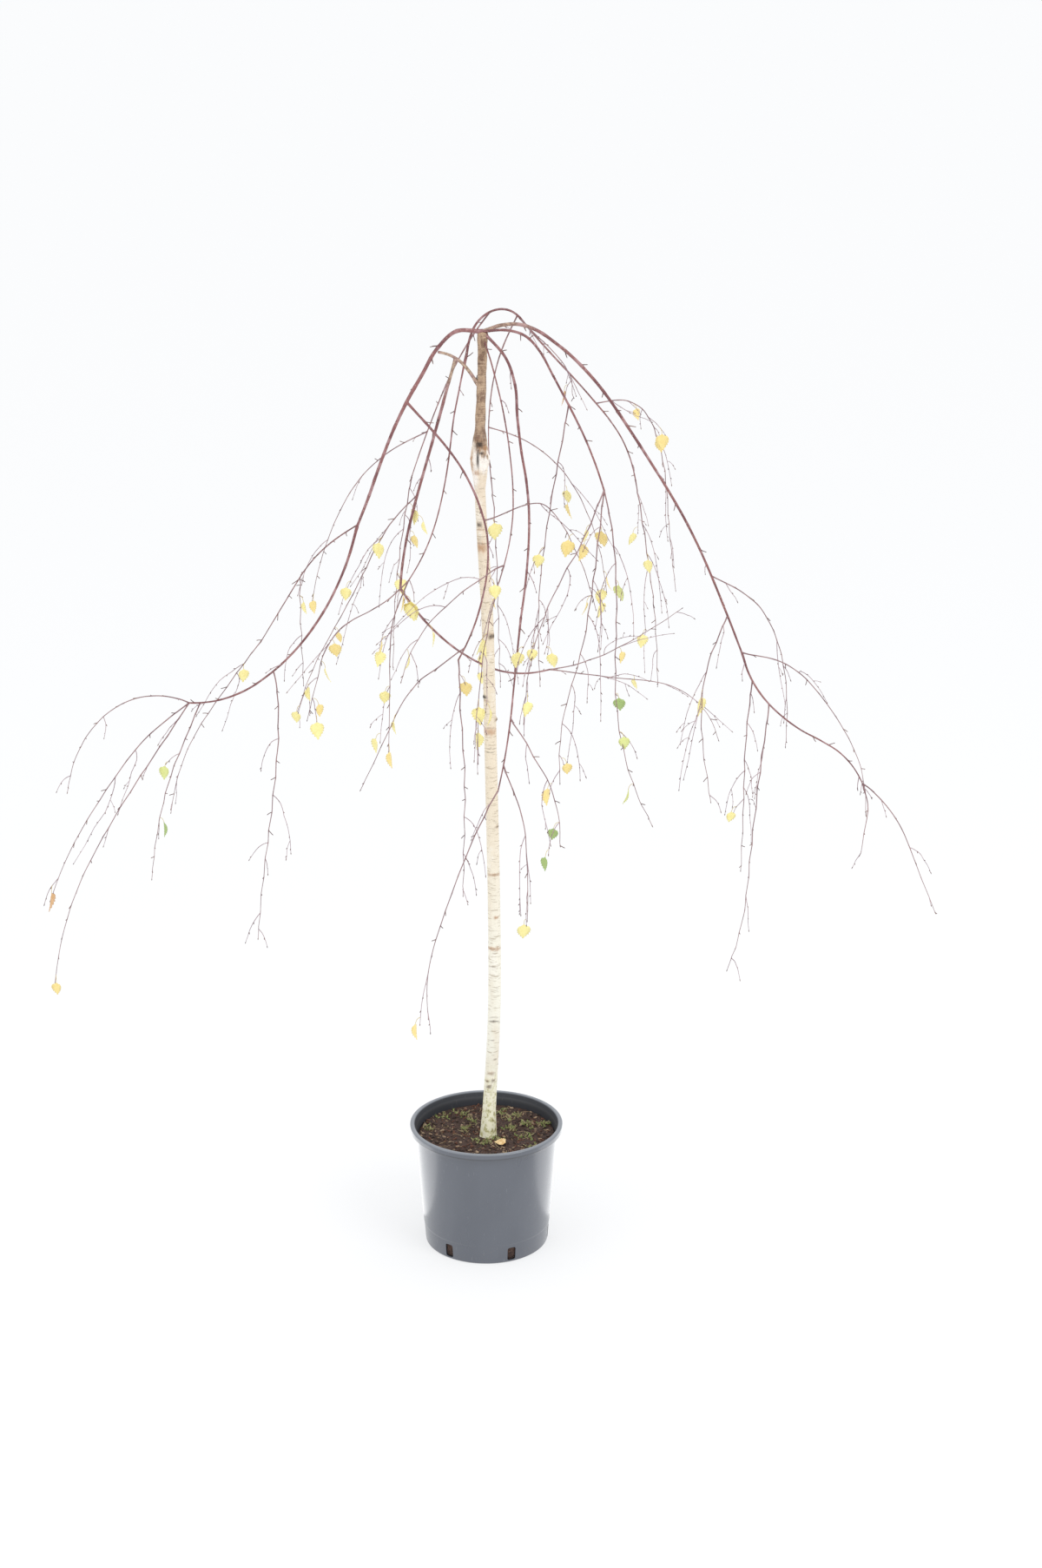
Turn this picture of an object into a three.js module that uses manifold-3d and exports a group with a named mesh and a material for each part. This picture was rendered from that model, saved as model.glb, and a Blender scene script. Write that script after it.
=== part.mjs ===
// A young weeping birch in a round nursery pot, in late autumn and all but bare.
// Millimetres, +Z up. The origin is the centre of the pot's flat underside; +Y points to the back.
import * as THREE from "three";
import { mergeVertices } from "three/addons/utils/BufferGeometryUtils.js";
import Module from "manifold-3d";

const wasm = await Module();
wasm.setup();

const gap = 0.3; // air between neighbouring solids

const potHeight = 220;
const potFootRadius = 107.5;
const potNeckRadius = 124; // just under the lip
const lipRadius = 133.5;
const lipWidth = 8;
const skirtHeight = 11; // the lip's outer edge, turned down
const potWall = 2.5;
const potFloor = 3;
const edgeRound = 2; // how far each outer edge is taken off
const potSides = 36;
const drainHoles = 6;
const drainWidth = 15;
const drainHeight = 24;
const drainRise = 4; // from the underside to the foot of a drain hole
const drainCut = 20; // depth of the cutter, well through the wall
const firstDrainAngle = -66; // degrees from +X

const soilLevel = 191;
const soilSwell = 5; // height of the lumps in the soil
const soilFlatRadius = 24; // the level patch that the trunk's foot covers
const soilSides = 24;
const soilRings = 5;

const trunkTop = 1588;
const trunkCap = 4; // the blunt dome above the last ring
const stockRadius = 11.2; // the grafted stem, at the soil
const stockTaper = 1.4; // lost evenly up to the graft
const stockNarrowing = 1.5; // lost as well, mostly close below the graft
const graftHeight = 1392; // the knot where the weeping top was grafted on
const graftSwell = 7;
const graftReach = 24; // how far the knot spreads up and down
const scionRadius = 8.8; // the weeping top's own stem, just above the graft
const scionTopRadius = 6.4;
const flareSwell = 2.6;
const flareReach = 30;
const knuckleSwell = 2.4; // where the boughs part
const knuckleDrop = 6;
const knuckleReach = 12;
const trunkUnevenness = 0.03;
const trunkWave = 90;
const trunkSides = 12;
const trunkStations = 29;
const trunkSway = [3, 14.5, 14.5, 10, 5.5, -6, 0]; // sideways place at equal heights, foot to top
const trunkDepth = 3;

const lineSteps = 60; // short steps in each centre line
const limbStations = 10;
const limbSides = 6;
const tipLength = 1; // the blunt cone that ends a limb
const massStations = 9;
const massSides = 6;
const massFoot = 0.02; // share of its centre line that a mass leaves clear at its parent
const massNeck = 2.5; // radius where a mass begins
const massFlatness = 0.5; // depth of a mass over its width
const massLobe = 0.2; // unevenness of a mass, over its radius
const lobeWaves = 14; // radians of waviness from foot to tip
const dentTurn = 5; // radians that the dents turn by from foot to tip
const lobeShift = 2.4; // radians between one mass and the next

// Each limb leaves its parent at a share of the parent's length. Pitch (degrees above level) and
// heading (degrees from +X, turning to +Y) hold at equal steps from foot to tip, and thick and
// thin are its diameters at foot and tip.
const limbs = {
  spur_limb: {
    from: "trunk", at: 0.933, length: 100, pitch: [68, 50, 10],
    heading: [-166, -166, -172], thick: 7.2, thin: 4.8,
  },
  bough_left: {
    from: "trunk", at: 1, length: 395, pitch: [28, -58, -58, -66, -70, -66],
    heading: [-170, -166, -162, -166, -164, -164], thick: 7.6, thin: 5.2,
  },
  bough_left_lower: {
    from: "bough_left", at: 1, length: 430, pitch: [-76, -64, -50, -32, 2],
    heading: [-168, -174, -174, -174, -176], thick: 5.2, thin: 3.2,
  },
  branch_left_rear: {
    from: "bough_left", at: 1, length: 360, pitch: [-28, -48, -46],
    heading: [144, 130, 126], thick: 2.8, thin: 1.9,
  },
  bough_front_left: {
    from: "bough_left", at: 0.47, length: 465, pitch: [-34, -42, -60, -70, -52],
    heading: [-32, -40, -56, -124, -142], thick: 4.8, thin: 2.9,
  },
  bough_rear_left: {
    from: "spur_limb", at: 0.72, length: 415, pitch: [-70, -70, -70, -72, -82],
    heading: [138, 140, 144, 138, 126], thick: 6, thin: 4.8,
  },
  bough_rear_crossing: {
    from: "bough_rear_left", at: 1, length: 360, pitch: [-58, -44, -26, 6],
    heading: [34, 26, 34, 28], thick: 4.8, thin: 3.4,
  },
  branch_left_inner: {
    from: "spur_limb", at: 0.5, length: 355, pitch: [-68, -78, -74, -56],
    heading: [-142, -120, -154, -172], thick: 3.2, thin: 2.2,
  },
  branch_front_inner: {
    from: "trunk", at: 1, length: 415, pitch: [-52, -44, -52, -50],
    heading: [-64, -76, -84, -112], thick: 3, thin: 2.1,
  },
  bough_front: {
    from: "trunk", at: 1, length: 515, pitch: [-28, -54, -48, -52, -48],
    heading: [-32, -86, -76, -94, -102], thick: 5.6, thin: 3.7,
  },
  bough_front_lower: {
    from: "bough_front", at: 1, length: 265, pitch: [-70, -74, -72],
    heading: [-108, -110, -136], thick: 3.7, thin: 2.4,
  },
  bough_top: {
    from: "spur_limb", at: 0.5, length: 160, pitch: [68, 60, 20, -46],
    heading: [84, 52, 22, 24], thick: 4.8, thin: 4.0,
  },
  bough_rear: {
    from: "bough_top", at: 1, length: 490, pitch: [-38, -36, -42, -58],
    heading: [56, 54, 50, 72], thick: 4, thin: 2.6,
  },
  branch_rear_left: {
    from: "bough_top", at: 0.65, length: 465, pitch: [-36, -46, -50],
    heading: [120, 114, 112], thick: 3.2, thin: 2.1,
  },
  branch_rear_middle: {
    from: "bough_top", at: 0.98, length: 445, pitch: [-38, -48, -52],
    heading: [114, 98, 84], thick: 2.9, thin: 2.1,
  },
  bough_right: {
    from: "trunk", at: 1, length: 280, pitch: [34, -32, -46, -56],
    heading: [8, 8, 12, 14], thick: 6.8, thin: 5.6,
  },
  bough_right_middle: {
    from: "bough_right", at: 1, length: 455, pitch: [-56, -58, -66, -68],
    heading: [0, 0, -12, -14], thick: 5.6, thin: 4.0,
  },
  bough_right_lower: {
    from: "bough_right_middle", at: 1, length: 305, pitch: [-74, -44, -22, -64],
    heading: [-22, -10, -12, -18], thick: 4, thin: 2.4,
  },
  bough_front_right: {
    from: "trunk", at: 1, length: 415, pitch: [20, -34, -40, -48],
    heading: [-30, -64, -60, -68], thick: 5.2, thin: 3.2,
  },
};

// The masses of hanging twigs follow the same rule, and width is the widest place of each.
const masses = {
  mass_left_high: {
    from: "bough_left_lower", at: 1, length: 380, pitch: [10, -24, -52, -72],
    heading: [148, 148, 150, 130], width: 75,
  },
  mass_left_tip: {
    from: "bough_left_lower", at: 0.98, length: 420, pitch: [-26, -52, -58, -70],
    heading: [-174, -170, -170, -166], width: 80,
  },
  mass_left_low: {
    from: "bough_left_lower", at: 0.92, length: 535, pitch: [-42, -46, -62, -78],
    heading: [-154, -152, -152, -128], width: 85,
  },
  mass_left_third: {
    from: "bough_left_lower", at: 0.93, length: 385, pitch: [-52, -66, -74],
    heading: [152, 136, 120], width: 70,
  },
  mass_left_hanging: {
    from: "bough_left_lower", at: 0.65, length: 450, pitch: [-78, -80, -80, -84],
    heading: [-46, -128, -148, -146], width: 65,
  },
  mass_left_rear: {
    from: "branch_left_rear", at: 1, length: 400, pitch: [-50, -54, -78],
    heading: [154, 154, 144], width: 75,
  },
  mass_left_inner: {
    from: "branch_left_inner", at: 1, length: 295, pitch: [-44, -20, -74, -74],
    heading: [-158, -164, -158, -152], width: 75,
  },
  mass_left_middle: {
    from: "branch_left_inner", at: 0.98, length: 290, pitch: [-58, -88, -76],
    heading: [-174, -104, -96], width: 75,
  },
  mass_front_left_low: {
    from: "bough_front_left", at: 1, length: 380, pitch: [-86, -82, -84, -84],
    heading: [-76, -56, -106, -100], width: 75,
  },
  mass_front_left_side: {
    from: "bough_front_left", at: 1, length: 265, pitch: [-10, -58, -54],
    heading: [-160, -142, -136], width: 70,
  },
  mass_front_crossing: {
    from: "bough_front_left", at: 0.33, length: 355, pitch: [14, -18, -56, -74],
    heading: [-34, -44, -34, -32], width: 65,
  },
  mass_rear_right_rising: {
    from: "bough_rear_crossing", at: 1, length: 270, pitch: [2, 22, 28],
    heading: [20, 22, 26], width: 65,
  },
  mass_rear_right_level: {
    from: "bough_rear_crossing", at: 1, length: 355, pitch: [-10, -6, -76],
    heading: [6, 4, 4], width: 70,
  },
  mass_rear_left_hanging: {
    from: "bough_rear_left", at: 0.57, length: 520, pitch: [-44, -58, -58, -70],
    heading: [148, 136, 154, 142], width: 80,
  },
  mass_front_inner: {
    from: "branch_front_inner", at: 1, length: 250, pitch: [-20, -36, -76],
    heading: [-150, -150, -156], width: 70,
  },
  mass_front_middle: {
    from: "branch_front_inner", at: 1, length: 310, pitch: [-66, -76, -90],
    heading: [-138, -124, -88], width: 70,
  },
  mass_front_low: {
    from: "bough_front_lower", at: 1, length: 385, pitch: [-60, -68, -72, -96],
    heading: [-166, -164, -166, -164], width: 70,
  },
  mass_front_low_right: {
    from: "bough_front_lower", at: 0.9, length: 235, pitch: [-54, -84, -78],
    heading: [-8, -58, -104], width: 60,
  },
  mass_front_side_right: {
    from: "bough_front_lower", at: 0.58, length: 215, pitch: [-42, -50, -90],
    heading: [-48, -42, -70], width: 60,
  },
  mass_top: {
    from: "bough_top", at: 0.88, length: 265, pitch: [8, -56, -58, -80],
    heading: [30, 46, 44, 60], width: 50,
  },
  mass_rear_low: {
    from: "bough_rear", at: 0.98, length: 410, pitch: [-72, -76, -86],
    heading: [54, 54, 66], width: 80,
  },
  mass_rear_outer: {
    from: "bough_rear", at: 0.57, length: 520, pitch: [10, -54, -70, -80],
    heading: [40, 58, 78, 46], width: 75,
  },
  mass_rear_left: {
    from: "branch_rear_left", at: 1, length: 385, pitch: [-68, -74, -86],
    heading: [120, 116, 106], width: 85,
  },
  mass_rear_middle: {
    from: "branch_rear_middle", at: 1, length: 420, pitch: [-70, -76, -82],
    heading: [76, 86, 80], width: 80,
  },
  mass_rear_left_outer: {
    from: "branch_rear_left", at: 0.75, length: 400, pitch: [-20, -60, -78],
    heading: [165, 160, 150], width: 80,
  },
  mass_rear_right_outer: {
    from: "branch_rear_middle", at: 0.7, length: 420, pitch: [-15, -58, -80],
    heading: [20, 30, 50], width: 80,
  },
  mass_left_rear_high: {
    from: "branch_left_rear", at: 0.45, length: 330, pitch: [-10, -60, -80],
    heading: [100, 95, 90], width: 75,
  },
  mass_right_far: {
    from: "bough_right_lower", at: 1, length: 260, pitch: [-36, -68, -66],
    heading: [-6, -12, -12], width: 75,
  },
  mass_right_tip: {
    from: "bough_right_lower", at: 0.95, length: 140, pitch: [-42, -58, -62],
    heading: [-50, -104, -122], width: 50,
  },
  mass_right_upper: {
    from: "bough_right_middle", at: 0.72, length: 405, pitch: [-14, -54, -72, -80],
    heading: [26, 40, 60, 96], width: 70,
  },
  mass_right_outer: {
    from: "bough_right_middle", at: 1, length: 430, pitch: [-6, -48, -60, -86],
    heading: [16, 22, 24, 48], width: 75,
  },
  mass_right_inner: {
    from: "bough_right_middle", at: 0.87, length: 315, pitch: [-40, -66, -78],
    heading: [-140, -98, -38], width: 70,
  },
  mass_right_hanging: {
    from: "bough_right_lower", at: 0.17, length: 350, pitch: [-78, -84, -84],
    heading: [128, 82, 98], width: 65,
  },
  mass_right_low: {
    from: "bough_right_lower", at: 0.32, length: 450, pitch: [-72, -70, -80, -64],
    heading: [-118, -110, -116, -150], width: 70,
  },
  mass_front_right_outer: {
    from: "bough_front_right", at: 1, length: 520, pitch: [-70, -76, -80, -76, -60],
    heading: [-44, -82, -100, -32, -16], width: 85,
  },
  mass_front_right_inner: {
    from: "bough_front_right", at: 1, length: 380, pitch: [-56, -46, -66, -80],
    heading: [-124, -136, -136, -106], width: 75,
  },
  mass_front_right_middle: {
    from: "bough_front_right", at: 0.98, length: 490, pitch: [-82, -84, -72, -94],
    heading: [132, 142, 158, 156], width: 75,
  },
  mass_front_right_near: {
    from: "bough_front_right", at: 0.47, length: 500, pitch: [-82, -80, -82, -82],
    heading: [-34, -142, -248, -296], width: 75,
  },
};

const potPlastic = new THREE.MeshStandardMaterial({ color: 0x59616b, roughness: 0.45, metalness: 0 });
const pottingSoil = new THREE.MeshStandardMaterial({ color: 0x3a2a20, roughness: 1, metalness: 0 });
const paleBark = new THREE.MeshStandardMaterial({ color: 0xd8d0be, roughness: 0.8, metalness: 0 });
const youngBark = new THREE.MeshStandardMaterial({ color: 0x6a3b34, roughness: 0.5, metalness: 0 });
const twigWood = new THREE.MeshStandardMaterial({ color: 0x6d5560, roughness: 0.7, metalness: 0 });

const group = new THREE.Group();
const solids = []; // limbs and masses made so far, grown by the gap, that later ones are cut by
const lines = {}; // centre line of the trunk and of each limb, by name

const radians = THREE.MathUtils.degToRad;
const mix = THREE.MathUtils.lerp;

function addPiece(name, geometry, material) {
  geometry.computeVertexNormals();
  const mesh = new THREE.Mesh(geometry, material);
  mesh.name = name;
  group.add(mesh);
}

// The value at a share of the way along a list whose entries are equally spaced.
function valueAlong(list, share) {
  const place = share * (list.length - 1);
  const below = Math.min(Math.floor(place), list.length - 2);
  return mix(list[below], list[below + 1], place - below);
}

function solidOf(geometry) {
  const bare = new THREE.BufferGeometry();
  bare.setAttribute("position", geometry.getAttribute("position").clone());
  bare.setIndex(geometry.index ? geometry.index.clone() : null);
  const merged = mergeVertices(bare, 1e-4);
  return new wasm.Manifold(
    new wasm.Mesh({
      numProp: 3,
      vertProperties: new Float32Array(merged.getAttribute("position").array),
      triVerts: new Uint32Array(merged.index.array),
    }),
  );
}

function geometryOf(solid) {
  const made = solid.getMesh();
  const geometry = new THREE.BufferGeometry();
  geometry.setAttribute("position", new THREE.BufferAttribute(made.vertProperties, 3));
  geometry.setIndex(new THREE.BufferAttribute(made.triVerts, 1));
  return geometry;
}

function largestPiece(solid) {
  const pieces = solid.decompose();
  return pieces.reduce((best, piece) => (piece.volume() > best.volume() ? piece : best));
}

// A closed skin over rings of points: each ring joins the next, and a single point closes each end.
function skinOfRings(rings, footPoint, tipPoint) {
  const sides = rings[0].length;
  const positions = [footPoint, ...rings.flat(), tipPoint].flatMap((p) => [p.x, p.y, p.z]);
  const tipIndex = rings.length * sides + 1;
  const triangles = [];
  for (let side = 0; side < sides; side++) {
    const next = (side + 1) % sides;
    triangles.push(0, 1 + next, 1 + side);
    for (let ring = 0; ring < rings.length - 1; ring++) {
      const low = 1 + ring * sides;
      const high = low + sides;
      triangles.push(low + side, low + next, high + next);
      triangles.push(low + side, high + next, high + side);
    }
    const last = 1 + (rings.length - 1) * sides;
    triangles.push(last + side, last + next, tipIndex);
  }
  const geometry = new THREE.BufferGeometry();
  geometry.setAttribute("position", new THREE.Float32BufferAttribute(positions, 3));
  geometry.setIndex(triangles);
  return geometry;
}

// Short straight steps whose pitch and heading run through the limb's listed values.
function centreLine(start, limb) {
  const points = [start.clone()];
  for (let step = 0; step < lineSteps; step++) {
    const share = step / (lineSteps - 1);
    const pitch = radians(valueAlong(limb.pitch, share));
    const heading = radians(valueAlong(limb.heading, share));
    const way = new THREE.Vector3(
      Math.cos(pitch) * Math.cos(heading),
      Math.cos(pitch) * Math.sin(heading),
      Math.sin(pitch),
    );
    points.push(points[step].clone().addScaledVector(way, limb.length / lineSteps));
  }
  return points;
}

function pointAt(name, share) {
  const below = Math.min(Math.floor(share * lineSteps), lineSteps - 1);
  const [low, high] = lines[name].slice(below, below + 2);
  return low.clone().lerp(high, share * lineSteps - below);
}

// Stations from a share of a centre line to its end, each with its tangent and two directions
// across it, carried from one station to the next without twisting.
function stationsAlong(line, count, foot = 0) {
  const stations = [];
  let across = null;
  for (let i = 0; i < count; i++) {
    const share = mix(foot, 1, i / (count - 1));
    const index = Math.round(share * lineSteps);
    const before = line[Math.max(index - 1, 0)];
    const after = line[Math.min(index + 1, lineSteps)];
    const tangent = after.clone().sub(before).normalize();
    if (!across) across = new THREE.Vector3(-tangent.y, tangent.x, 0).normalize();
    across.addScaledVector(tangent, -across.dot(tangent)).normalize();
    const upward = tangent.clone().cross(across);
    stations.push({ share, centre: line[index], tangent, across: across.clone(), upward });
  }
  return stations;
}

// One ring round a station; reach(angle) gives the half width across and the half depth there.
function ringAt(station, sides, reach) {
  return Array.from({ length: sides }, (_, side) => {
    const angle = (side / sides) * 2 * Math.PI;
    const [width, depth] = reach(angle);
    return station.centre
      .clone()
      .addScaledVector(station.across, width * Math.cos(angle))
      .addScaledVector(station.upward, depth * Math.sin(angle));
  });
}

function limbGeometry(line, limb, grow) {
  const stations = stationsAlong(line, limbStations);
  const rings = stations.map((station) => {
    const radius = mix(limb.thick, limb.thin, station.share) / 2 + grow;
    return ringAt(station, limbSides, () => [radius, radius]);
  });
  const last = stations[limbStations - 1];
  const tip = last.centre.clone().addScaledVector(last.tangent, tipLength + grow);
  return skinOfRings(rings, line[0], tip);
}

// An uneven flattened spindle: it swells from a narrow neck, is widest a little before half way,
// and carries lobes whose place differs from mass to mass.
function massGeometry(line, mass, order, grow) {
  const stations = stationsAlong(line, massStations, massFoot).slice(0, -1);
  const rings = stations.map((station) => {
    const swell = Math.sin(Math.PI * station.share ** 0.8) ** 0.8;
    const lobe = 1 + massLobe * Math.sin(lobeWaves * station.share + lobeShift * order);
    const half = massNeck + (mass.width / 2 - massNeck) * swell * lobe + grow;
    return ringAt(station, massSides, (angle) => {
      const dent = 1 + massLobe * Math.sin(2 * angle + dentTurn * station.share + order);
      return [half * dent, half * massFlatness * dent + massNeck];
    });
  });
  return skinOfRings(rings, stations[0].centre, line[lineSteps]);
}

// Adds a limb or mass, cut clear of every earlier one that reaches it.
function addLimb(name, material, makeGeometry) {
  let solid = solidOf(makeGeometry(0));
  const box = solid.boundingBox();
  for (const other of solids) {
    const clear = [0, 1, 2].some((k) => other.box.max[k] < box.min[k] || other.box.min[k] > box.max[k]);
    if (!clear) solid = largestPiece(solid.subtract(other.solid));
  }
  const grown = solidOf(makeGeometry(gap));
  solids.push({ solid: grown, box: grown.boundingBox() });
  addPiece(name, geometryOf(solid), material);
}

// A thin-walled pot with a turned-down lip, and oblong drain holes round its foot.
function makePot() {
  const inner = lipRadius - lipWidth;
  const underLip = potHeight - skirtHeight;
  const profile = [
    [0, 0],
    [potFootRadius - edgeRound, 0],
    [potFootRadius, edgeRound],
    [potNeckRadius, potHeight - 2 * potWall],
    [lipRadius - potWall, potHeight - 2 * potWall],
    [lipRadius - potWall, underLip],
    [lipRadius, underLip],
    [lipRadius, potHeight - edgeRound],
    [lipRadius - edgeRound, potHeight],
    [inner + edgeRound, potHeight],
    [inner, potHeight - edgeRound],
    [potNeckRadius - potWall, underLip - potWall],
    [potFootRadius - potWall, potFloor],
    [0, potFloor],
  ].map(([radius, height]) => new THREE.Vector2(radius, height));
  const shell = new THREE.LatheGeometry(profile, potSides);
  shell.rotateX(Math.PI / 2);
  let solid = solidOf(shell);
  for (let hole = 0; hole < drainHoles; hole++) {
    const turn = radians(firstDrainAngle) + (hole / drainHoles) * 2 * Math.PI;
    const cutter = new THREE.BoxGeometry(drainCut, drainWidth, drainHeight);
    cutter.translate(potFootRadius, 0, drainRise + drainHeight / 2);
    cutter.rotateZ(turn);
    solid = solid.subtract(solidOf(cutter));
  }
  addPiece("pot", geometryOf(solid), potPlastic);
}

// The soil fills the pot to below the rim, lumpy but level where the trunk stands.
function makeSoil() {
  const slope = (potNeckRadius - potFootRadius) / (potHeight - skirtHeight);
  const wallRadius = (height) => potFootRadius - potWall + slope * (height - potFloor) - 2 * gap;
  const ring = (radius, heightOf) =>
    Array.from({ length: soilSides }, (_, side) => {
      const angle = (side / soilSides) * 2 * Math.PI;
      return new THREE.Vector3(radius * Math.cos(angle), radius * Math.sin(angle), heightOf(angle));
    });
  const bottom = potFloor + gap;
  const rings = [ring(wallRadius(bottom), () => bottom)];
  for (let i = 0; i < soilRings; i++) {
    const radius = mix(wallRadius(soilLevel), soilFlatRadius, i / (soilRings - 1));
    const flat = i === soilRings - 1;
    const lump = (angle) => Math.sin(3 * angle + lobeShift * i) + Math.sin(7 * angle - lobeShift * i);
    rings.push(ring(radius, (angle) => soilLevel + (flat ? 0 : (soilSwell / 2) * lump(angle))));
  }
  const centre = new THREE.Vector3(0, 0, soilLevel);
  addPiece("potting_soil", skinOfRings(rings, new THREE.Vector3(0, 0, bottom), centre), pottingSoil);
}

// Radius of the trunk at a height: a long taper, a flare at the foot, the swollen graft, and a
// knuckle at the top where the boughs part.
function trunkRadius(height) {
  const bump = (swell, middle, reach) => swell * Math.exp(-(((height - middle) / reach) ** 2));
  const share = (height - soilLevel) / (graftHeight - soilLevel);
  const stock = stockRadius - stockTaper * share - stockNarrowing * share ** 6;
  const above = (height - graftHeight) / (trunkTop - graftHeight);
  const stem = above < 0 ? stock : mix(scionRadius, scionTopRadius, above);
  const flare = flareSwell * Math.exp(-(height - soilLevel) / flareReach);
  const graft = bump(graftSwell, graftHeight, graftReach);
  const knuckle = bump(knuckleSwell, trunkTop - knuckleDrop, knuckleReach);
  return stem + flare + graft + knuckle;
}

function makeTrunk() {
  const sway = new THREE.SplineCurve(trunkSway.map((x, i) => new THREE.Vector2(i, x)));
  const centreAt = (share) =>
    new THREE.Vector3(sway.getPoint(share).y, trunkDepth, mix(soilLevel + gap, trunkTop, share));
  lines.trunk = Array.from({ length: lineSteps + 1 }, (_, i) => centreAt(i / lineSteps));
  const across = new THREE.Vector3(1, 0, 0);
  const upward = new THREE.Vector3(0, 1, 0);
  addLimb("trunk", paleBark, (grow) => {
    const rings = Array.from({ length: trunkStations }, (_, i) => {
      const centre = centreAt(i / (trunkStations - 1));
      const radius = trunkRadius(centre.z) + grow;
      return ringAt({ centre, across, upward }, trunkSides, (angle) => {
        const uneven = radius * (1 + trunkUnevenness * Math.sin(3 * angle + centre.z / trunkWave));
        return [uneven, uneven];
      });
    });
    const top = centreAt(1).add(new THREE.Vector3(0, 0, trunkCap + grow));
    return skinOfRings(rings, centreAt(0), top);
  });
}

makePot();
makeSoil();
makeTrunk();

for (const [name, limb] of Object.entries(limbs)) {
  lines[name] = centreLine(pointAt(limb.from, limb.at), limb);
  addLimb(name, youngBark, (grow) => limbGeometry(lines[name], limb, grow));
}

Object.entries(masses).forEach(([name, mass], order) => {
  lines[name] = centreLine(pointAt(mass.from, mass.at), mass);
  addLimb(name, twigWood, (grow) => massGeometry(lines[name], mass, order, grow));
});

export default group;
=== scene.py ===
# A young weeping birch in its nursery pot, nearly bare in late autumn: barked stem and boughs,
# hanging twigs with buds, the last leaves, mossy soil and the pot. Metres, +Z up, +Y to the back.
import math

import bpy
import numpy as np
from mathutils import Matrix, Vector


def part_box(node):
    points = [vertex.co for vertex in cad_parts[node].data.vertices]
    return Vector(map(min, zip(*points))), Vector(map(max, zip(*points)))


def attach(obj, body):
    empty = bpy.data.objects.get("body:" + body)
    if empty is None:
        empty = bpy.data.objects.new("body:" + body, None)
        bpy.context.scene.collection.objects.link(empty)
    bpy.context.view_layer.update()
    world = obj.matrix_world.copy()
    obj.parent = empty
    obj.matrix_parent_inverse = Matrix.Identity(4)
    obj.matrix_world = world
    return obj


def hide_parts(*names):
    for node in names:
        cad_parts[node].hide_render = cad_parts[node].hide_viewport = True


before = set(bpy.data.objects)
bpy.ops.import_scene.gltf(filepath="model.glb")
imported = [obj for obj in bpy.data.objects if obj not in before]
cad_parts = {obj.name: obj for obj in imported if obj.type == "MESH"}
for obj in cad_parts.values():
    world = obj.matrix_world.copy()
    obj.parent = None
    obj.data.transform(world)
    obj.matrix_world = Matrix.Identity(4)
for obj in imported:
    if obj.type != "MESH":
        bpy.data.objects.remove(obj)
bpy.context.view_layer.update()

dice = np.random.default_rng(41)
scene = bpy.context.scene

# What grows from the stem and from each limb, nearest the stem first.
branching = {
    "trunk": ["spur_limb", "bough_left", "branch_front_inner", "bough_front", "bough_right",
              "bough_front_right"],
    "spur_limb": ["bough_rear_left", "branch_left_inner", "bough_top"],
    "bough_left": ["bough_left_lower", "branch_left_rear", "bough_front_left"],
    "bough_left_lower": ["mass_left_high", "mass_left_tip", "mass_left_low", "mass_left_third",
                         "mass_left_hanging"],
    "branch_left_rear": ["mass_left_rear", "mass_left_rear_high"],
    "bough_front_left": ["mass_front_left_low", "mass_front_left_side", "mass_front_crossing"],
    "bough_rear_left": ["bough_rear_crossing", "mass_rear_left_hanging"],
    "bough_rear_crossing": ["mass_rear_right_rising", "mass_rear_right_level"],
    "branch_left_inner": ["mass_left_inner", "mass_left_middle"],
    "branch_front_inner": ["mass_front_inner", "mass_front_middle"],
    "bough_front": ["bough_front_lower"],
    "bough_front_lower": ["mass_front_low", "mass_front_low_right", "mass_front_side_right"],
    "bough_top": ["bough_rear", "branch_rear_left", "branch_rear_middle", "mass_top"],
    "bough_rear": ["mass_rear_low", "mass_rear_outer"],
    "branch_rear_left": ["mass_rear_left", "mass_rear_left_outer"],
    "branch_rear_middle": ["mass_rear_middle", "mass_rear_right_outer"],
    "bough_right": ["bough_right_middle"],
    "bough_right_middle": ["bough_right_lower", "mass_right_upper", "mass_right_outer",
                           "mass_right_inner"],
    "bough_right_lower": ["mass_right_far", "mass_right_tip", "mass_right_hanging",
                          "mass_right_low"],
    "bough_front_right": ["mass_front_right_outer", "mass_front_right_inner",
                          "mass_front_right_middle", "mass_front_right_near"],
}
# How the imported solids' centre lines are read.
reading = {
    "trunkStep": 0.002, "limbStep": 0.003, "massStep": 0.005,  # between a smooth line's points
    "aheadCost": 0.3,       # how much a way ahead counts beside a miss, where a root is sought
    "endWidth": 0.002,      # half width of a mass where it starts and ends
}


def unit(vectors):
    # each vector over its own length
    return vectors / np.linalg.norm(vectors, axis=-1, keepdims=True)


def squared(vectors, against):
    # unit vectors made square to others: what lies along the other is taken away
    return unit(vectors - (vectors * against).sum(-1, keepdims=True) * against)


def lineLength(lines):
    # the distances from each point to the next, added up
    return np.linalg.norm(np.diff(lines, axis=-2), axis=-1).sum(axis=-1)


def readAt(shares, ownShares, rows):
    # rows of three numbers, read off straight between the rows' own shares
    return np.stack([np.interp(shares, ownShares, rows[:, k]) for k in range(3)], axis=1)


def weldedNode(name):
    # the node's corner points, each once, and which of them an edge joins
    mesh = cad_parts[name].data
    corners = np.empty(len(mesh.vertices) * 3)
    mesh.vertices.foreach_get("co", corners)
    triangles = np.empty(len(mesh.polygons) * 3, int)
    mesh.loops.foreach_get("vertex_index", triangles)
    points, same = np.unique(corners.reshape(-1, 3).round(6), axis=0, return_inverse=True)
    triangles = same.reshape(-1)[triangles].reshape(-1, 3)
    joined = np.zeros((len(points), len(points)), bool)
    joined[triangles, np.roll(triangles, 1, axis=1)] = True
    return points, joined | joined.T


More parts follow.
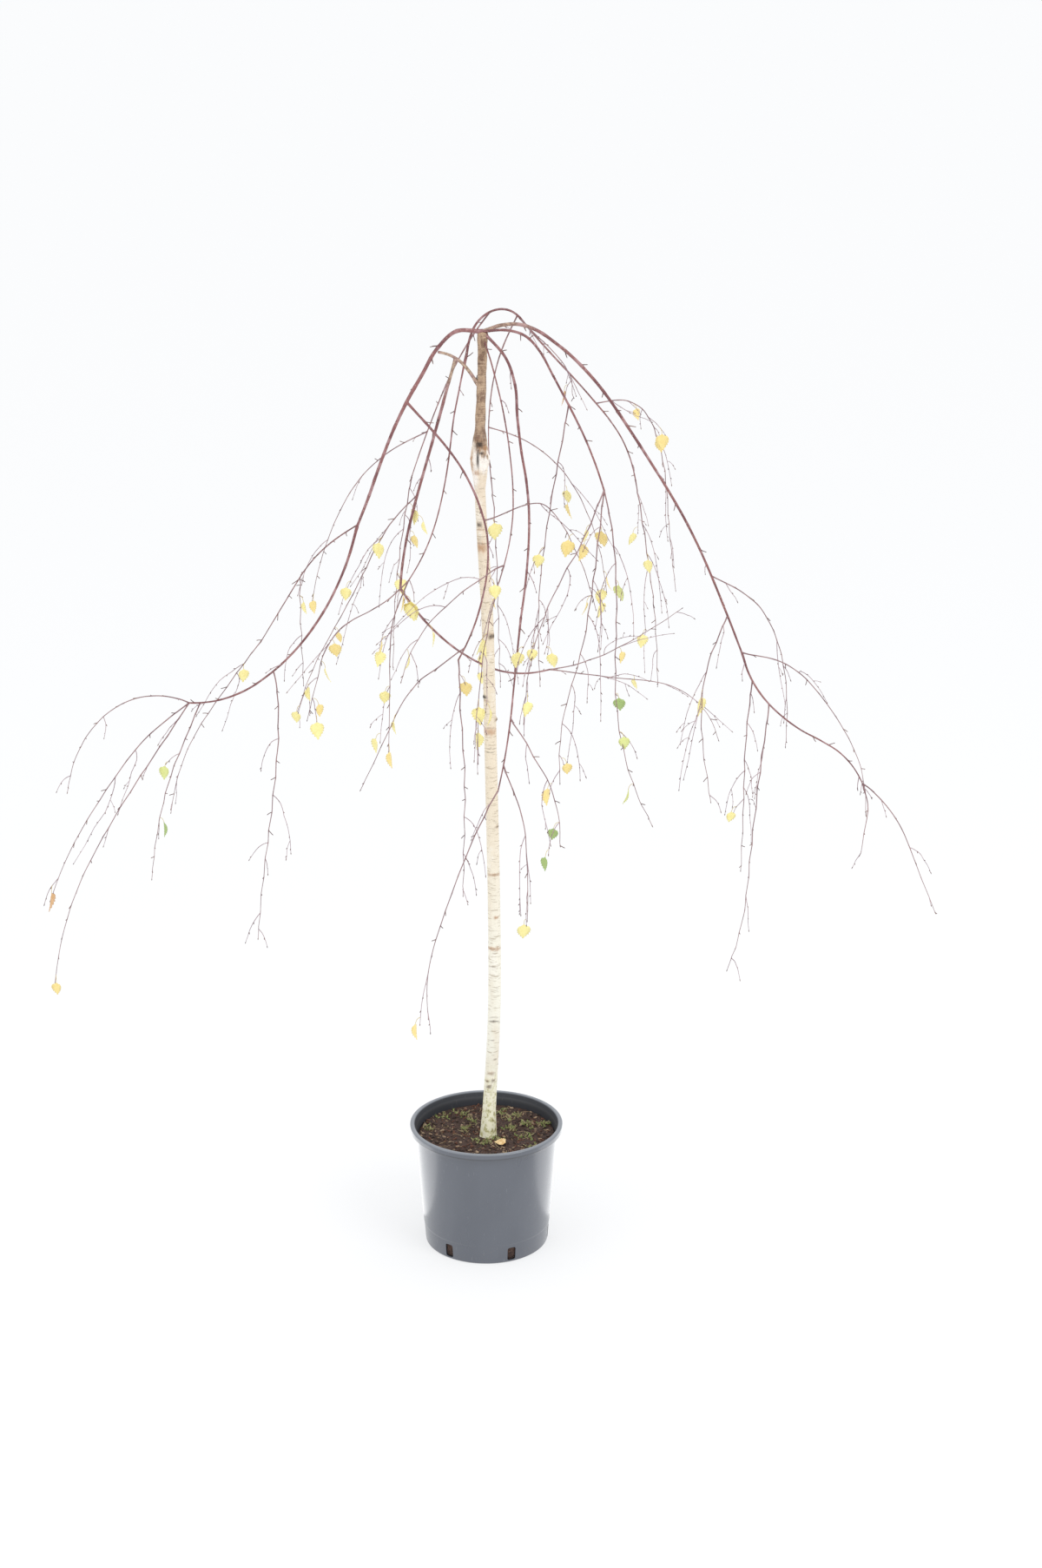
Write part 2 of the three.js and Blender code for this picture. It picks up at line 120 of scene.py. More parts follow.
def edgesAway(joined, start):
    # how many edges lie between the start and every other point
    away = np.full(len(joined), -1)
    away[start] = 0
    fresh = away == 0
    while fresh.any():
        near = joined[fresh].any(axis=0) & (away < 0)
        away[near] = away.max() + 1
        fresh = near
    return away


def ringsOf(name, parentLine):
    # Points as many edges from the tip make one ring. A ring's mean lies on the centre line,
    # and its points' mean distance from there is the radius. Whole rings come back, foot first.
    points, joined = weldedNode(name)
    toParent = np.linalg.norm(points[:, None] - parentLine[None], axis=2).min(axis=1)
    tip = int(edgesAway(joined, int(toParent.argmin())).argmax())
    away = edgesAway(joined, tip)
    sides = int((away == 1).sum())
    rings = [points[away == step] for step in range(1, away.max() + 1)]
    while len(rings) > 2 and len(rings[-1]) != sides:
        rings.pop()
    return rings[::-1], points[tip]


def smoothLine(knots, spacing):
    # A cubic through the knots: each stretch blends its two ends' places and slopes, and the
    # slopes come from the neighbours. Points come back evenly spaced, with each one's knot place.
    knots = np.asarray(knots, float)
    at = np.concatenate([[0], np.cumsum(np.linalg.norm(np.diff(knots, axis=0), axis=1))])
    slopes = np.gradient(knots, at, axis=0)
    steps = max(int(round(at[-1] / spacing)), 6)
    s = np.linspace(0, at[-1], steps + 1)
    low = np.clip(np.searchsorted(at, s, side="right") - 1, 0, len(knots) - 2)
    span = (at[low + 1] - at[low])[:, None]
    u = ((s - at[low]) / span[:, 0])[:, None]
    line = ((2 * u**3 - 3 * u**2 + 1) * knots[low] + (u**3 - 2 * u**2 + u) * span * slopes[low]
            + (3 * u**2 - 2 * u**3) * knots[low + 1] + (u**3 - u**2) * span * slopes[low + 1])
    return line, s / at[-1], at / at[-1]


def limbLine(name, parentLine, spacing):
    # The limb's smooth centre line, from inside its parent to its tip, with its radius and its
    # widest direction along the way.
    rings, tip = ringsOf(name, parentLine)
    centres = np.array([ring.mean(axis=0) for ring in rings])
    arms = [ring - ring.mean(axis=0) for ring in rings]
    radii = np.array([np.linalg.norm(arm, axis=1).mean() for arm in arms])
    widths = np.array([np.linalg.norm(arm, axis=1).max() for arm in arms])
    way = centres[0] - centres[1]
    way /= np.linalg.norm(way)
    ahead = np.clip((parentLine - centres[0]) @ way, 0, None)
    miss = np.linalg.norm(parentLine - centres[0] - ahead[:, None] * way, axis=1)
    miss += reading["aheadCost"] * ahead
    root = parentLine[int(miss.argmin())]
    knots = np.vstack([root, centres, tip])
    line, share, at = smoothLine(knots, spacing)
    wide = np.array([np.linalg.svd(arm)[2][0] for arm in arms])
    wide *= np.sign(wide @ wide[len(wide) // 2])[:, None]
    wide = np.vstack([wide[0], wide, wide[-1]])
    across = unit(readAt(share, at, wide))
    radius = np.interp(share, at, np.concatenate([[radii[0]], radii, [radii[-1]]]))
    width = np.interp(share, at, np.pad(widths, 1, constant_values=reading["endWidth"]))
    return {"line": line, "share": share, "radius": radius, "width": width, "across": across}


parentOf = {child: parent for parent, children in branching.items() for child in children}
trunkRings, trunkTip = ringsOf("trunk", np.array([[0.0, 0.0, 0.0]]))
trunkKnots = np.array([ring.mean(axis=0) for ring in trunkRings] + [trunkTip])
limbs = {"trunk": {"line": smoothLine(trunkKnots, reading["trunkStep"])[0]}}
for name, parent in parentOf.items():
    step = reading["massStep" if "mass" in name else "limbStep"]
    limbs[name] = limbLine(name, limbs[parent]["line"], step)
print("lines read for", len(limbs), "limbs and masses")


def alongLine(line):
    # unit tangents, from the point before to the point after
    return unit(np.gradient(line, axis=-2))


def ringFrames(lines):
    # Two directions square to each line. The first starts from the line's flattest direction,
    # which is square to a line that bends in one plane, and is then made square at each point.
    tangents = alongLine(lines)
    spread = lines - lines.mean(axis=-2, keepdims=True)
    flat = np.linalg.eigh(np.swapaxes(spread, -1, -2) @ spread)[1][..., :, 0]
    first = squared(flat[..., None, :], tangents)
    return tangents, first, np.cross(tangents, first)


def ringFaces(rows, sides):
    # Four-sided faces between neighbouring rings, and three-sided ones to the point that closes
    # each end. Those two points come after the rings' points.
    row, side = np.meshgrid(np.arange(rows - 1), np.arange(sides), indexing="ij")
    after = (side + 1) % sides
    quads = np.stack([row * sides + side, row * sides + after,
                      (row + 1) * sides + after, (row + 1) * sides + side], -1).reshape(-1, 4)
    around, last = np.arange(sides), (rows - 1) * sides
    after = (around + 1) % sides
    foot = np.stack([after, around, np.full(sides, rows * sides)], -1)
    tip = np.stack([last + around, last + after, np.full(sides, rows * sides + 1)], -1)
    return quads, np.vstack([foot, tip])


def tubes(lines, radii, sides, relief=None):
    # Tubes along m lines of n points: place = centre + radius (cos a first + sin a second).
    # Each end closes on one point, a little outside the first ring and further past the last.
    lines = np.asarray(lines)
    m, n = lines.shape[:2]
    tangents, first, second = ringFrames(lines)
    a = np.arange(sides) / sides * 2 * math.pi
    reach = np.broadcast_to(np.asarray(radii)[..., None], (m, n, sides))
    if relief is not None:
        reach = reach + relief
    ring = np.cos(a)[:, None] * first[:, :, None] + np.sin(a)[:, None] * second[:, :, None]
    skin = lines[:, :, None] + reach[..., None] * ring
    rounding = reach[:, [0, -1]].mean(-1) * [-0.3, 0.6]
    ends = lines[:, [0, -1]] + tangents[:, [0, -1]] * rounding[..., None]
    places = np.concatenate([skin.reshape(m, -1, 3), ends], axis=1)
    quads, triangles = ringFaces(n, sides)
    shift = (np.arange(m) * (n * sides + 2))[:, None, None]
    return places.reshape(-1, 3), (quads + shift).reshape(-1, 4), (triangles + shift).reshape(-1, 3)


def joinParts(parts):
    # one list of places, four-sided and three-sided faces out of many
    places, quads, triangles, shift = [], [], [], 0
    for part in parts:
        places.append(part[0])
        quads.append(part[1] + shift)
        triangles.append(part[2] + shift)
        shift += len(part[0])
    return np.vstack(places), np.vstack(quads), np.vstack(triangles)


def makePiece(name, part, material, replaced=(), values=None):
    # a mesh object at the origin from places and faces, with values kept at each point
    places, quads, triangles = part
    mesh = bpy.data.meshes.new(name)
    mesh.from_pydata(places.tolist(), [], quads.tolist() + triangles.tolist())
    mesh.polygons.foreach_set("use_smooth", np.ones(len(mesh.polygons), bool))
    for key, numbers in (values or {}).items():
        mesh.attributes.new(key, "FLOAT", "POINT").data.foreach_set("value", np.ravel(numbers))
    mesh.materials.append(material)
    mesh.update()
    piece = bpy.data.objects.new(name, mesh)
    scene.collection.objects.link(piece)
    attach(piece, "root")
    if replaced:
        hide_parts(*replaced)
    return piece


def newMaterial(name, roughness, **fixed):
    # a Principled material with its roughness and any other fixed values set
    material = bpy.data.materials.new(name)
    material.use_nodes = True
    shader = material.node_tree.nodes["Principled BSDF"]
    shader.inputs["Roughness"].default_value = roughness
    for key, value in fixed.items():
        shader.inputs[key.replace("_", " ")].default_value = value
    return material, material.node_tree, shader


def addNode(tree, kind, inputs=None, **settings):
    # a node with its settings made, and each input linked or given its value
    node = tree.nodes.new(kind)
    for key, value in settings.items():
        setattr(node, key, value)
    for key, value in (inputs or {}).items():
        if isinstance(value, bpy.types.NodeSocket):
            tree.links.new(value, node.inputs[key])
        else:
            node.inputs[key].default_value = value
    return node


def objectPlace(tree, stretch=(1, 1, 1)):
    # Object coordinates times a stretch, so a larger stretch squeezes the pattern
    place = addNode(tree, "ShaderNodeTexCoord").outputs["Object"]
    return addNode(tree, "ShaderNodeMapping", {"Vector": place, "Scale": stretch}).outputs[0]


def heightOf(tree, place):
    # the height above the floor
    return addNode(tree, "ShaderNodeSeparateXYZ", {0: place}).outputs["Z"]


def noise(tree, scale, stretch=(1, 1, 1), detail=3, roughness=0.5):
    # smooth noise around one half, finer with scale
    place = objectPlace(tree, stretch)
    return addNode(tree, "ShaderNodeTexNoise", {"Vector": place, "Scale": scale, "Detail": detail,
                                                "Roughness": roughness}).outputs["Fac"]


def band(tree, value, low, high, bottom=0, top=1):
    # the value stretched so that low becomes bottom and high becomes top, eased and kept between
    return addNode(tree, "ShaderNodeMapRange", {0: value, 1: low, 2: high, 3: bottom, 4: top},
                   interpolation_type="SMOOTHSTEP").outputs[0]


def maths(tree, how, first, second):
    # two values put together as the operation says
    return addNode(tree, "ShaderNodeMath", {0: first, 1: second}, operation=how).outputs[0]


def plus(tree, first, second):
    # first + second
    return maths(tree, "ADD", first, second)


def minus(tree, first, second):
    # first - second
    return maths(tree, "SUBTRACT", first, second)


def times(tree, first, second):
    # first x second
    return maths(tree, "MULTIPLY", first, second)


def mixColours(tree, share, first, second):
    # the first colour giving way to the second by the share
    node = addNode(tree, "ShaderNodeMix", {0: share, 6: first, 7: second}, data_type="RGBA")
    return node.outputs[2]


def dotted(tree, scale, edge, middle, strength=1):
    # round dots: the distance to the nearest scattered point, nothing past edge and full at middle
    dots = addNode(tree, "ShaderNodeTexVoronoi", {"Vector": objectPlace(tree), "Scale": scale})
    return band(tree, dots.outputs["Distance"], edge, middle, 0, strength)


def kept(tree, key):
    # a value kept at the mesh's points
    return addNode(tree, "ShaderNodeAttribute", attribute_name=key).outputs["Fac"]


def setBump(tree, shader, height, distance, strength=1.0):
    # relief: a height of one stands out by the distance
    bump = addNode(tree, "ShaderNodeBump", {"Height": height, "Distance": distance,
                                            "Strength": strength})
    tree.links.new(bump.outputs[0], shader.inputs["Normal"])


def setColour(tree, shader, colour):
    # the surface takes this colour
    tree.links.new(colour, shader.inputs["Base Color"])


def rgb(red, green, blue):
    # a screen colour, 0 to 255, as the linear colour the shader takes
    part = np.array([red, green, blue]) / 255
    linear = np.where(part <= 0.04045, part / 12.92, ((part + 0.055) / 1.055) ** 2.4)
    return (*linear.tolist(), 1.0)


# The stem has pale bark with lenticels up to the graft and brown young bark above it.
stem = {
    "sides": 64, "step": 0.0016,
    "fluting": 0.012,       # unevenness round the stem, over its radius
    "flareLobes": 0.0012, "flareHeight": 0.022,   # root buttresses at the soil, fading upwards
    "graftAbove": 1.204,    # height of the graft above the soil
    "graftLumps": 0.0009, "graftSpread": 0.026, "graftSink": 0.008,
    "crownLumps": 0.0008, "crownDepth": 0.05,     # roughness where the boughs part
    "wrinkles": 0.00022, "youngRings": 0.00035,   # relief of the bark above the graft
}
# Marks on the stem: name, height above the soil, the way it faces (degrees from +X, -90 is the
# front), half its height, half its turn in degrees, rise, how far its ends sag, darkness, rust.
stemMarks = [
    ("knob low", 0.099, -104, 0.0036, 24, 0.0010, 0.000, 0.65, 0.3),
    ("knob left", 0.109, -122, 0.0026, 15, 0.0011, 0.000, 0.60, 0.4),
    ("knob right", 0.111, -68, 0.0030, 17, 0.0012, 0.000, 0.60, 0.3),
    ("knob high", 0.124, -92, 0.0026, 32, 0.0006, 0.000, 0.35, 0.4),
    ("knob rear", 0.104, 80, 0.0034, 26, 0.0012, 0.000, 0.60, 0.4),
    ("short dash", 0.150, -58, 0.0014, 16, 0.0003, 0.000, 0.60, 0.1),
    ("short dash high", 0.186, -98, 0.0011, 16, 0.0003, 0.000, 0.60, 0.1),
    ("eyebrow low", 0.222, -90, 0.0014, 52, 0.0010, 0.005, 0.85, 0.1),
    ("eyebrow high", 0.229, -90, 0.0010, 44, 0.0006, 0.004, 0.45, 0.1),
    ("rear stub", 0.262, 95, 0.0050, 24, 0.0022, 0.000, 0.75, 0.2),
    ("thin arc foot", 0.322, -112, 0.0012, 42, 0.0004, 0.001, 0.45, 0.2),
    ("brown band low", 0.355, -98, 0.0026, 74, 0.0009, 0.001, 0.25, 0.7),
    ("red fleck", 0.412, -70, 0.0020, 22, 0.0004, 0.000, 0.25, 0.8),
    ("brown band", 0.489, -84, 0.0020, 66, 0.0007, 0.001, 0.30, 0.6),
    ("side fleck", 0.574, -40, 0.0022, 25, 0.0006, 0.000, 0.55, 0.3),
    ("rear scar", 0.640, 120, 0.0050, 30, 0.0018, 0.000, 0.60, 0.3),
    ("thin arc low", 0.706, -95, 0.0007, 46, 0.0003, 0.003, 0.65, 0.0),
    ("thin arc high", 0.713, -85, 0.0007, 40, 0.0003, 0.003, 0.65, 0.0),
    ("orange band", 0.741, -92, 0.0050, 78, 0.0007, 0.000, 0.10, 0.65),
    ("orange band edge", 0.748, -90, 0.0010, 52, 0.0004, 0.001, 0.45, 0.3),
    ("stub right", 0.761, -20, 0.0030, 24, 0.0030, 0.000, 0.70, 0.3),
    ("stub left", 0.801, -136, 0.0036, 28, 0.0030, 0.001, 0.95, 0.0),
    ("stub left lip", 0.795, -126, 0.0012, 34, 0.0008, 0.002, 0.35, 0.4),
    ("pruned stub", 0.905, -55, 0.0050, 32, 0.0034, 0.001, 0.85, 0.4),
    ("rear stub high", 0.960, 70, 0.0050, 28, 0.0026, 0.000, 0.80, 0.2),
    ("tan patch", 1.053, -108, 0.0062, 56, 0.0009, 0.001, 0.18, 0.75),
    ("tan patch edge", 1.060, -112, 0.0016, 44, 0.0005, 0.001, 0.45, 0.2),
    ("dark scar", 1.091, -112, 0.0048, 26, 0.0016, 0.001, 0.85, 0.3),
    ("dark scar lip", 1.083, -105, 0.0014, 40, 0.0008, 0.003, 0.25, 0.5),
    ("graft crack", 1.199, -102, 0.0150, 9, -0.0016, 0.000, 1.00, 0.0),
    ("graft crack side", 1.208, -78, 0.0022, 18, -0.0006, 0.000, 0.90, 0.2),
    ("graft patch left", 1.190, -156, 0.0130, 16, 0.0003, 0.000, 0.25, 0.8),
    ("graft patch low", 1.176, -116, 0.0030, 22, 0.0002, 0.000, 0.15, 0.7),
    ("graft patch right", 1.216, -50, 0.0030, 20, 0.0004, 0.000, 0.25, 0.8),
    ("graft wound", 1.222, -94, 0.0066, 34, -0.0012, 0.001, 1.00, 0.4),
    ("graft wound rear", 1.215, 80, 0.0090, 34, -0.0008, 0.002, 0.80, 0.4),
]


def stemLine():
    # centre and radius at even heights, from the trunk's rings; its foot is cut flat
    rings = np.array([ring for ring in trunkRings if len(ring) == len(trunkRings[0])])
    centres = rings.mean(axis=1)
    radii = np.linalg.norm(rings - centres[:, None], axis=2).mean(axis=1)
    foot, top = centres[0, 2], trunkTip[2]
    z = np.linspace(foot, centres[-1, 2], int((centres[-1, 2] - foot) / stem["step"]))
    line = smoothLine(centres, stem["step"])[0]
    x = np.interp(z, line[:, 2], line[:, 0])
    y = np.interp(z, line[:, 2], line[:, 1])
    return np.stack([x, y, z], axis=1), np.interp(z, centres[:, 2], radii), top


def stemSkin():
    # Round each point of the centre line a level circle, whose radius is the ring radius with
    # shallow flutes, root lobes, graft lumps and the marks, each a smooth hump of its own size.
    centre, radius, top = stemLine()
    soil = centre[0, 2]
    z = centre[:, 2][:, None]
    up = z - soil
    turn = np.arange(stem["sides"]) / stem["sides"] * 2 * math.pi
    turn = turn[None] + np.zeros_like(z)
    flutes = np.sin(3 * turn + 5 * np.sin(4.1 * up)) + 0.6 * np.sin(5 * turn - 17 * up + 1.3)
    reach = radius[:, None] * (1 + stem["fluting"] * flutes)
    reach += stem["flareLobes"] * np.exp(-up / stem["flareHeight"]) * (0.5 + np.sin(4 * turn + 0.7))
    atGraft = np.exp(-((up - stem["graftAbove"] + stem["graftSink"]) / stem["graftSpread"]) ** 2)
    lumps = np.sin(7 * turn + 210 * up) * np.sin(3 * turn - 330 * up + 1)
    lumps += np.sin(11 * turn + 95 * up)
    reach += stem["graftLumps"] * atGraft * lumps
    crown = np.clip((up - up.max() + stem["crownDepth"]) / stem["crownDepth"], 0, 1)
    reach += stem["crownLumps"] * crown * np.sin(5 * turn + 160 * up) * np.sin(2 * turn + 90 * up)
    young = np.clip((up - stem["graftAbove"] - 0.016) / 0.01, 0, 1)
    wrinkles = np.sin(420 * up + 2.5 * np.sin(2 * turn)) * np.sin(9 * turn + 60 * up)
    reach += stem["wrinkles"] * young * wrinkles
    reach += stem["youngRings"] * young * np.sin(150 * up + np.sin(3 * turn))
    dark, rust = np.zeros_like(reach), np.zeros_like(reach)
    for _, height, facing, halfHeight, halfTurn, rise, sag, darkness, rusty in stemMarks:
        off = (turn - math.radians(facing) + math.pi) % (2 * math.pi) - math.pi
        side = off / math.radians(halfTurn)
        level = (up - height + sag * (1 - np.cos(np.clip(side, -1.6, 1.6)))) / halfHeight
        edge = np.exp(-np.abs(side) ** 3)
        ragged = 1 + 0.35 * np.sin(6 * turn + height * 900) * np.sin(13 * turn + height * 400)
        reach += rise * np.exp(-np.abs(level * ragged) ** 2.4) * edge
        dark = np.maximum(dark, darkness * np.exp(-np.abs(level * 1.15 * ragged) ** 3) * edge)
        rust = np.maximum(rust, rusty * np.exp(-np.abs(level * 0.8 * ragged) ** 3) * edge)
    skin = centre[:, None] + reach[..., None] * np.stack(
        [np.cos(turn), np.sin(turn), np.zeros_like(turn)], axis=-1)
    # the blunt dome on top: three smaller rings along a quarter circle, then one point
    rise = top - centre[-1, 2]
    dome = [centre[-1] + (skin[-1] - centre[-1]) * math.cos(a) + [0, 0, rise * math.sin(a)]
            for a in np.radians([25, 50, 72])]
    skin = np.concatenate([skin, np.array(dome)])
    rows, sides = skin.shape[:2]
    places = np.vstack([skin.reshape(-1, 3), centre[0], [centre[-1, 0], centre[-1, 1], top]])
    spare = 3 * sides + 2  # the dome's points and the two that close the ends have no mark
    values = {"dark": np.concatenate([dark.ravel(), np.zeros(spare)]),
              "rust": np.concatenate([rust.ravel(), np.zeros(spare)])}
    return (places, *ringFaces(rows, sides)), values, soil


def stemBark(soil):
    # Cream turning tan with height, wavering by noise, under peeling, lenticels and blotches;
    # painted light and algae by the soil, white at the graft, brown young bark above, and the marks
    # over all.
    material, tree, shader = newMaterial("pale_stem_bark", 0.72)
    height = heightOf(tree, objectPlace(tree))
    blotches = noise(tree, 38, (1, 1, 0.45), 4, 0.6)
    wobble = times(tree, minus(tree, blotches, 0.5), 0.12)
    wavering = plus(tree, height, wobble)
    graft = soil + stem["graftAbove"]
    cream, tan, pale = rgb(236, 233, 219), rgb(228, 215, 193), rgb(226, 211, 190)
    colour = mixColours(tree, band(tree, wavering, soil + 0.26, soil + 0.66), cream, tan)
    colour = mixColours(tree, band(tree, wavering, soil + 0.80, graft - 0.06), colour, pale)
    colour = mixColours(tree, band(tree, blotches, 0.52, 0.66, 0, 0.5), colour, rgb(244, 240, 230))
    warmth = noise(tree, 24, (1, 1, 0.3), 2)
    colour = mixColours(tree, band(tree, warmth, 0.5, 0.7, 0, 0.4), colour, rgb(216, 196, 168))
    # peeling edges and lenticels run round the stem, so their pattern is squeezed in height
    dashes = noise(tree, 1, (70, 70, 620), 2, 0.4)
    dash = band(tree, dashes, 0.60, 0.68)
    colour = mixColours(tree, times(tree, dash, 0.55), colour, rgb(162, 144, 118))
    fine = noise(tree, 1, (150, 150, 1500), 2, 0.4)
    colour = mixColours(tree, band(tree, fine, 0.58, 0.70, 0, 0.35), colour, rgb(180, 164, 134))
    # painted light that lifts the shade near the soil, yellow-green algae and brown specks
    low = band(tree, wavering, soil + 0.16, soil + 0.03)
    specks = noise(tree, 260, (1, 1, 0.8), 4, 0.7)
    # painted light: the stem's foot turns nearly white towards the soil, against the shade there
    colour = mixColours(tree, times(tree, low, 0.9), colour, rgb(255, 252, 224))
    algae = noise(tree, 150, (1, 1, 0.7), 4, 0.65)
    green = times(tree, low, band(tree, algae, 0.47, 0.60, 0, 0.8))
    colour = mixColours(tree, green, colour, rgb(190, 184, 112))
    brown = times(tree, low, band(tree, algae, 0.60, 0.68, 0, 0.85))
    colour = mixColours(tree, brown, colour, rgb(112, 92, 64))
    # white peeled bark over the graft, young brown bark above it
    peeled = band(tree, wavering, graft - 0.040, graft - 0.016)
    peeled = times(tree, peeled, band(tree, blotches, 0.38, 0.56, 0.2, 0.9))
    colour = mixColours(tree, peeled, colour, rgb(243, 237, 230))
    grain = noise(tree, 120, (1, 1, 0.5), 5, 0.65)
    young = mixColours(tree, band(tree, grain, 0.36, 0.62), rgb(128, 100, 82), rgb(180, 153, 126))
    rings = noise(tree, 1, (60, 60, 520))
    young = mixColours(tree, band(tree, rings, 0.55, 0.66, 0, 0.6), young, rgb(204, 180, 152))
    young = mixColours(tree, band(tree, rings, 0.40, 0.30, 0, 0.6), young, rgb(96, 72, 60))
    aboveGraft = band(tree, wavering, graft + 0.006, graft + 0.018)
    colour = mixColours(tree, aboveGraft, colour, young)
    rust = times(tree, kept(tree, "rust"), band(tree, specks, 0.30, 0.55, 0.45, 1))
    colour = mixColours(tree, rust, colour, rgb(190, 138, 92))
    dark = times(tree, kept(tree, "dark"), band(tree, specks, 0.28, 0.5, 0.55, 1))
    colour = mixColours(tree, dark, colour, rgb(46, 36, 31))
    setColour(tree, shader, colour)
    pores = noise(tree, 700, (1, 1, 0.6), 4, 0.6)
    relief = plus(tree, times(tree, dash, 0.5), times(tree, pores, 0.9))
    relief = plus(tree, relief, times(tree, times(tree, grain, 2.2), aboveGraft))
    setBump(tree, shader, relief, 0.0005)
    rough = plus(tree, band(tree, blotches, 0.4, 0.7, 0.62, 0.80), times(tree, dash, 0.1))
    tree.links.new(rough, shader.inputs["Roughness"])
    return material


stemPart, stemValues, soilHeight = stemSkin()
makePiece("stem_bark", stemPart, stemBark(soilHeight), ["trunk"], stemValues)
print("stem barked,", len(stemPart[1]), "faces")


# The boughs have glossy red-brown bark, greyer where it is old, with collars and nodes.
boughs = {
    "sides": 14,
    "collarSwell": 0.30, "collarReach": 0.009,   # over the radius, where a bough leaves its parent
    "nodeGap": 0.034, "nodeShares": (0.08, 0.985),
    "nodeSwell": 0.10, "nodeLength": 0.004,
    "unevenness": 0.035,
    "slimness": 0.86,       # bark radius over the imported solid's
    "agedShare": {"spur_limb": 1.0, "bough_right": 0.26, "bough_rear_left": 0.12},
    "agedFade": 0.12,       # share of the length over which the grey bark gives way
    "twigShare": 0.10,      # nodes that carry a thin side twig
    "twigLength": (0.010, 0.045), "twigFoot": 0.0009,
    "twigOpening": (0.6, 1.1), "twigDroop": (0.1, 0.8),
}
# Short spurs stand on the boughs and on the twigs.
spur = {
    "share": 0.55,          # of a bough's nodes that carry one
    "length": (0.003, 0.008),
    "seat": 0.6,            # where it starts, over the bough's radius
    "thickness": 0.32,      # over the bough's radius, kept within the next two
    "radius": (0.0007, 0.0013),
    "boughOpening": 0.9, "twigOpening": 1.0,
    "boughShape": [1.5, 1.1, 1, 1, 0.9],         # radius from foot to tip
    "twigShape": [1.1, 0.9, 0.85, 0.85, 0.8], "twigRadius": 0.0008,
}
# How every twig and spur grows out of its parent.
growth = {
    "jitter": 0.3,          # how far a node strays, over the gap
    "twist": 0.55,          # radians that a node's side strays from the half turn
    "turnAway": 0.045,      # length in which a twig's opening angle fades
    "restAngle": 0.06,      # what is left of it
    "kink": 0.085, "kinkEvery": 3,
}


def boughBark():
    # Red-brown patches and dark streaks, mixed to grey by age, with pale dots and a bloom.
    material, tree, shader = newMaterial("red_brown_bough_bark", 0.42)
    old = kept(tree, "age")
    streaks = noise(tree, 190, (1, 1, 1), 4, 0.6)
    patches = noise(tree, 26)
    colour = mixColours(tree, band(tree, patches, 0.38, 0.62), rgb(112, 67, 70), rgb(140, 92, 91))
    colour = mixColours(tree, band(tree, streaks, 0.5, 0.72, 0, 0.5), colour, rgb(98, 54, 58))
    grey = mixColours(tree, band(tree, streaks, 0.36, 0.62), rgb(132, 108, 94), rgb(188, 164, 142))
    aged = times(tree, old, band(tree, patches, 0.25, 0.55, 0.5, 1))
    colour = mixColours(tree, aged, colour, grey)
    dot = dotted(tree, 260.0, 0.26, 0.14)
    colour = mixColours(tree, times(tree, dot, 0.6), colour, rgb(204, 176, 162))
    bloom = noise(tree, 60)
    colour = mixColours(tree, band(tree, bloom, 0.48, 0.70, 0, 0.5), colour, rgb(188, 152, 154))
    setColour(tree, shader, colour)
    setBump(tree, shader, plus(tree, times(tree, dot, 0.7), times(tree, streaks, 1.4)), 0.0003)
    rough = plus(tree, band(tree, streaks, 0.4, 0.7, 0.34, 0.48), times(tree, old, 0.25))
    tree.links.new(rough, shader.inputs["Roughness"])
    return material


def nodesAlong(limb, gapLength, shares):
    # Places where buds grow: evenly spaced with a little chance, each with its share, place, way
    # along the limb, and a side that turns by about half a circle from one to the next.
    line, share = limb["line"], limb["share"]
    length = lineLength(line)
    count = max(int((shares[1] - shares[0]) * length / gapLength), 2)
    stray = dice.uniform(-growth["jitter"], growth["jitter"], count) * gapLength / length
    at = np.clip(np.linspace(*shares, count) + stray, 0, 1)
    way = unit(readAt(at, share, alongLine(line)))
    across = squared(readAt(at, share, limb["across"]), way)
    turn = np.arange(count) * math.pi + dice.normal(0, growth["twist"], count)
    turn = turn + dice.uniform(0, 0.6)
    side = np.cos(turn)[:, None] * across + np.sin(turn)[:, None] * np.cross(way, across)
    return {"share": at, "place": readAt(at, share, line), "way": way, "side": side}


def swellAt(share, nodes, length, reach):
    # a round swelling at each node, as a bell curve of the distance along the limb
    return np.exp(-((share[:, None] - nodes["share"][None]) * length / reach) ** 2).sum(axis=1)


def stretchesOut(starts, ways, sides, lengths, opening, droop, count):
    # Twig lines: each sets off between its parent's way and its side, at its opening angle. The
    # angle fades with distance, so that long twigs turn and hang beside their parent, and their
    # weight bends them down. Small kinks come at their own nodes.
    s = np.linspace(0, 1, count)
    angle = (np.broadcast_to(opening, lengths.shape)[:, None]
             * np.exp(-s * lengths[:, None] / growth["turnAway"]) + growth["restAngle"])
    heading = np.cos(angle)[..., None] * ways[:, None] + np.sin(angle)[..., None] * sides[:, None]
    heading[..., 2] -= np.broadcast_to(droop, lengths.shape)[:, None] * s
    every = growth["kinkEvery"]
    kinks = dice.normal(0, growth["kink"], (len(starts), -(-count // every), 3))
    heading = unit(heading + np.repeat(kinks, every, axis=1)[:, :count])
    steps = heading[:, :-1] * (lengths / (count - 1))[:, None, None]
    return np.concatenate([starts[:, None], starts[:, None] + np.cumsum(steps, axis=1)], axis=1)


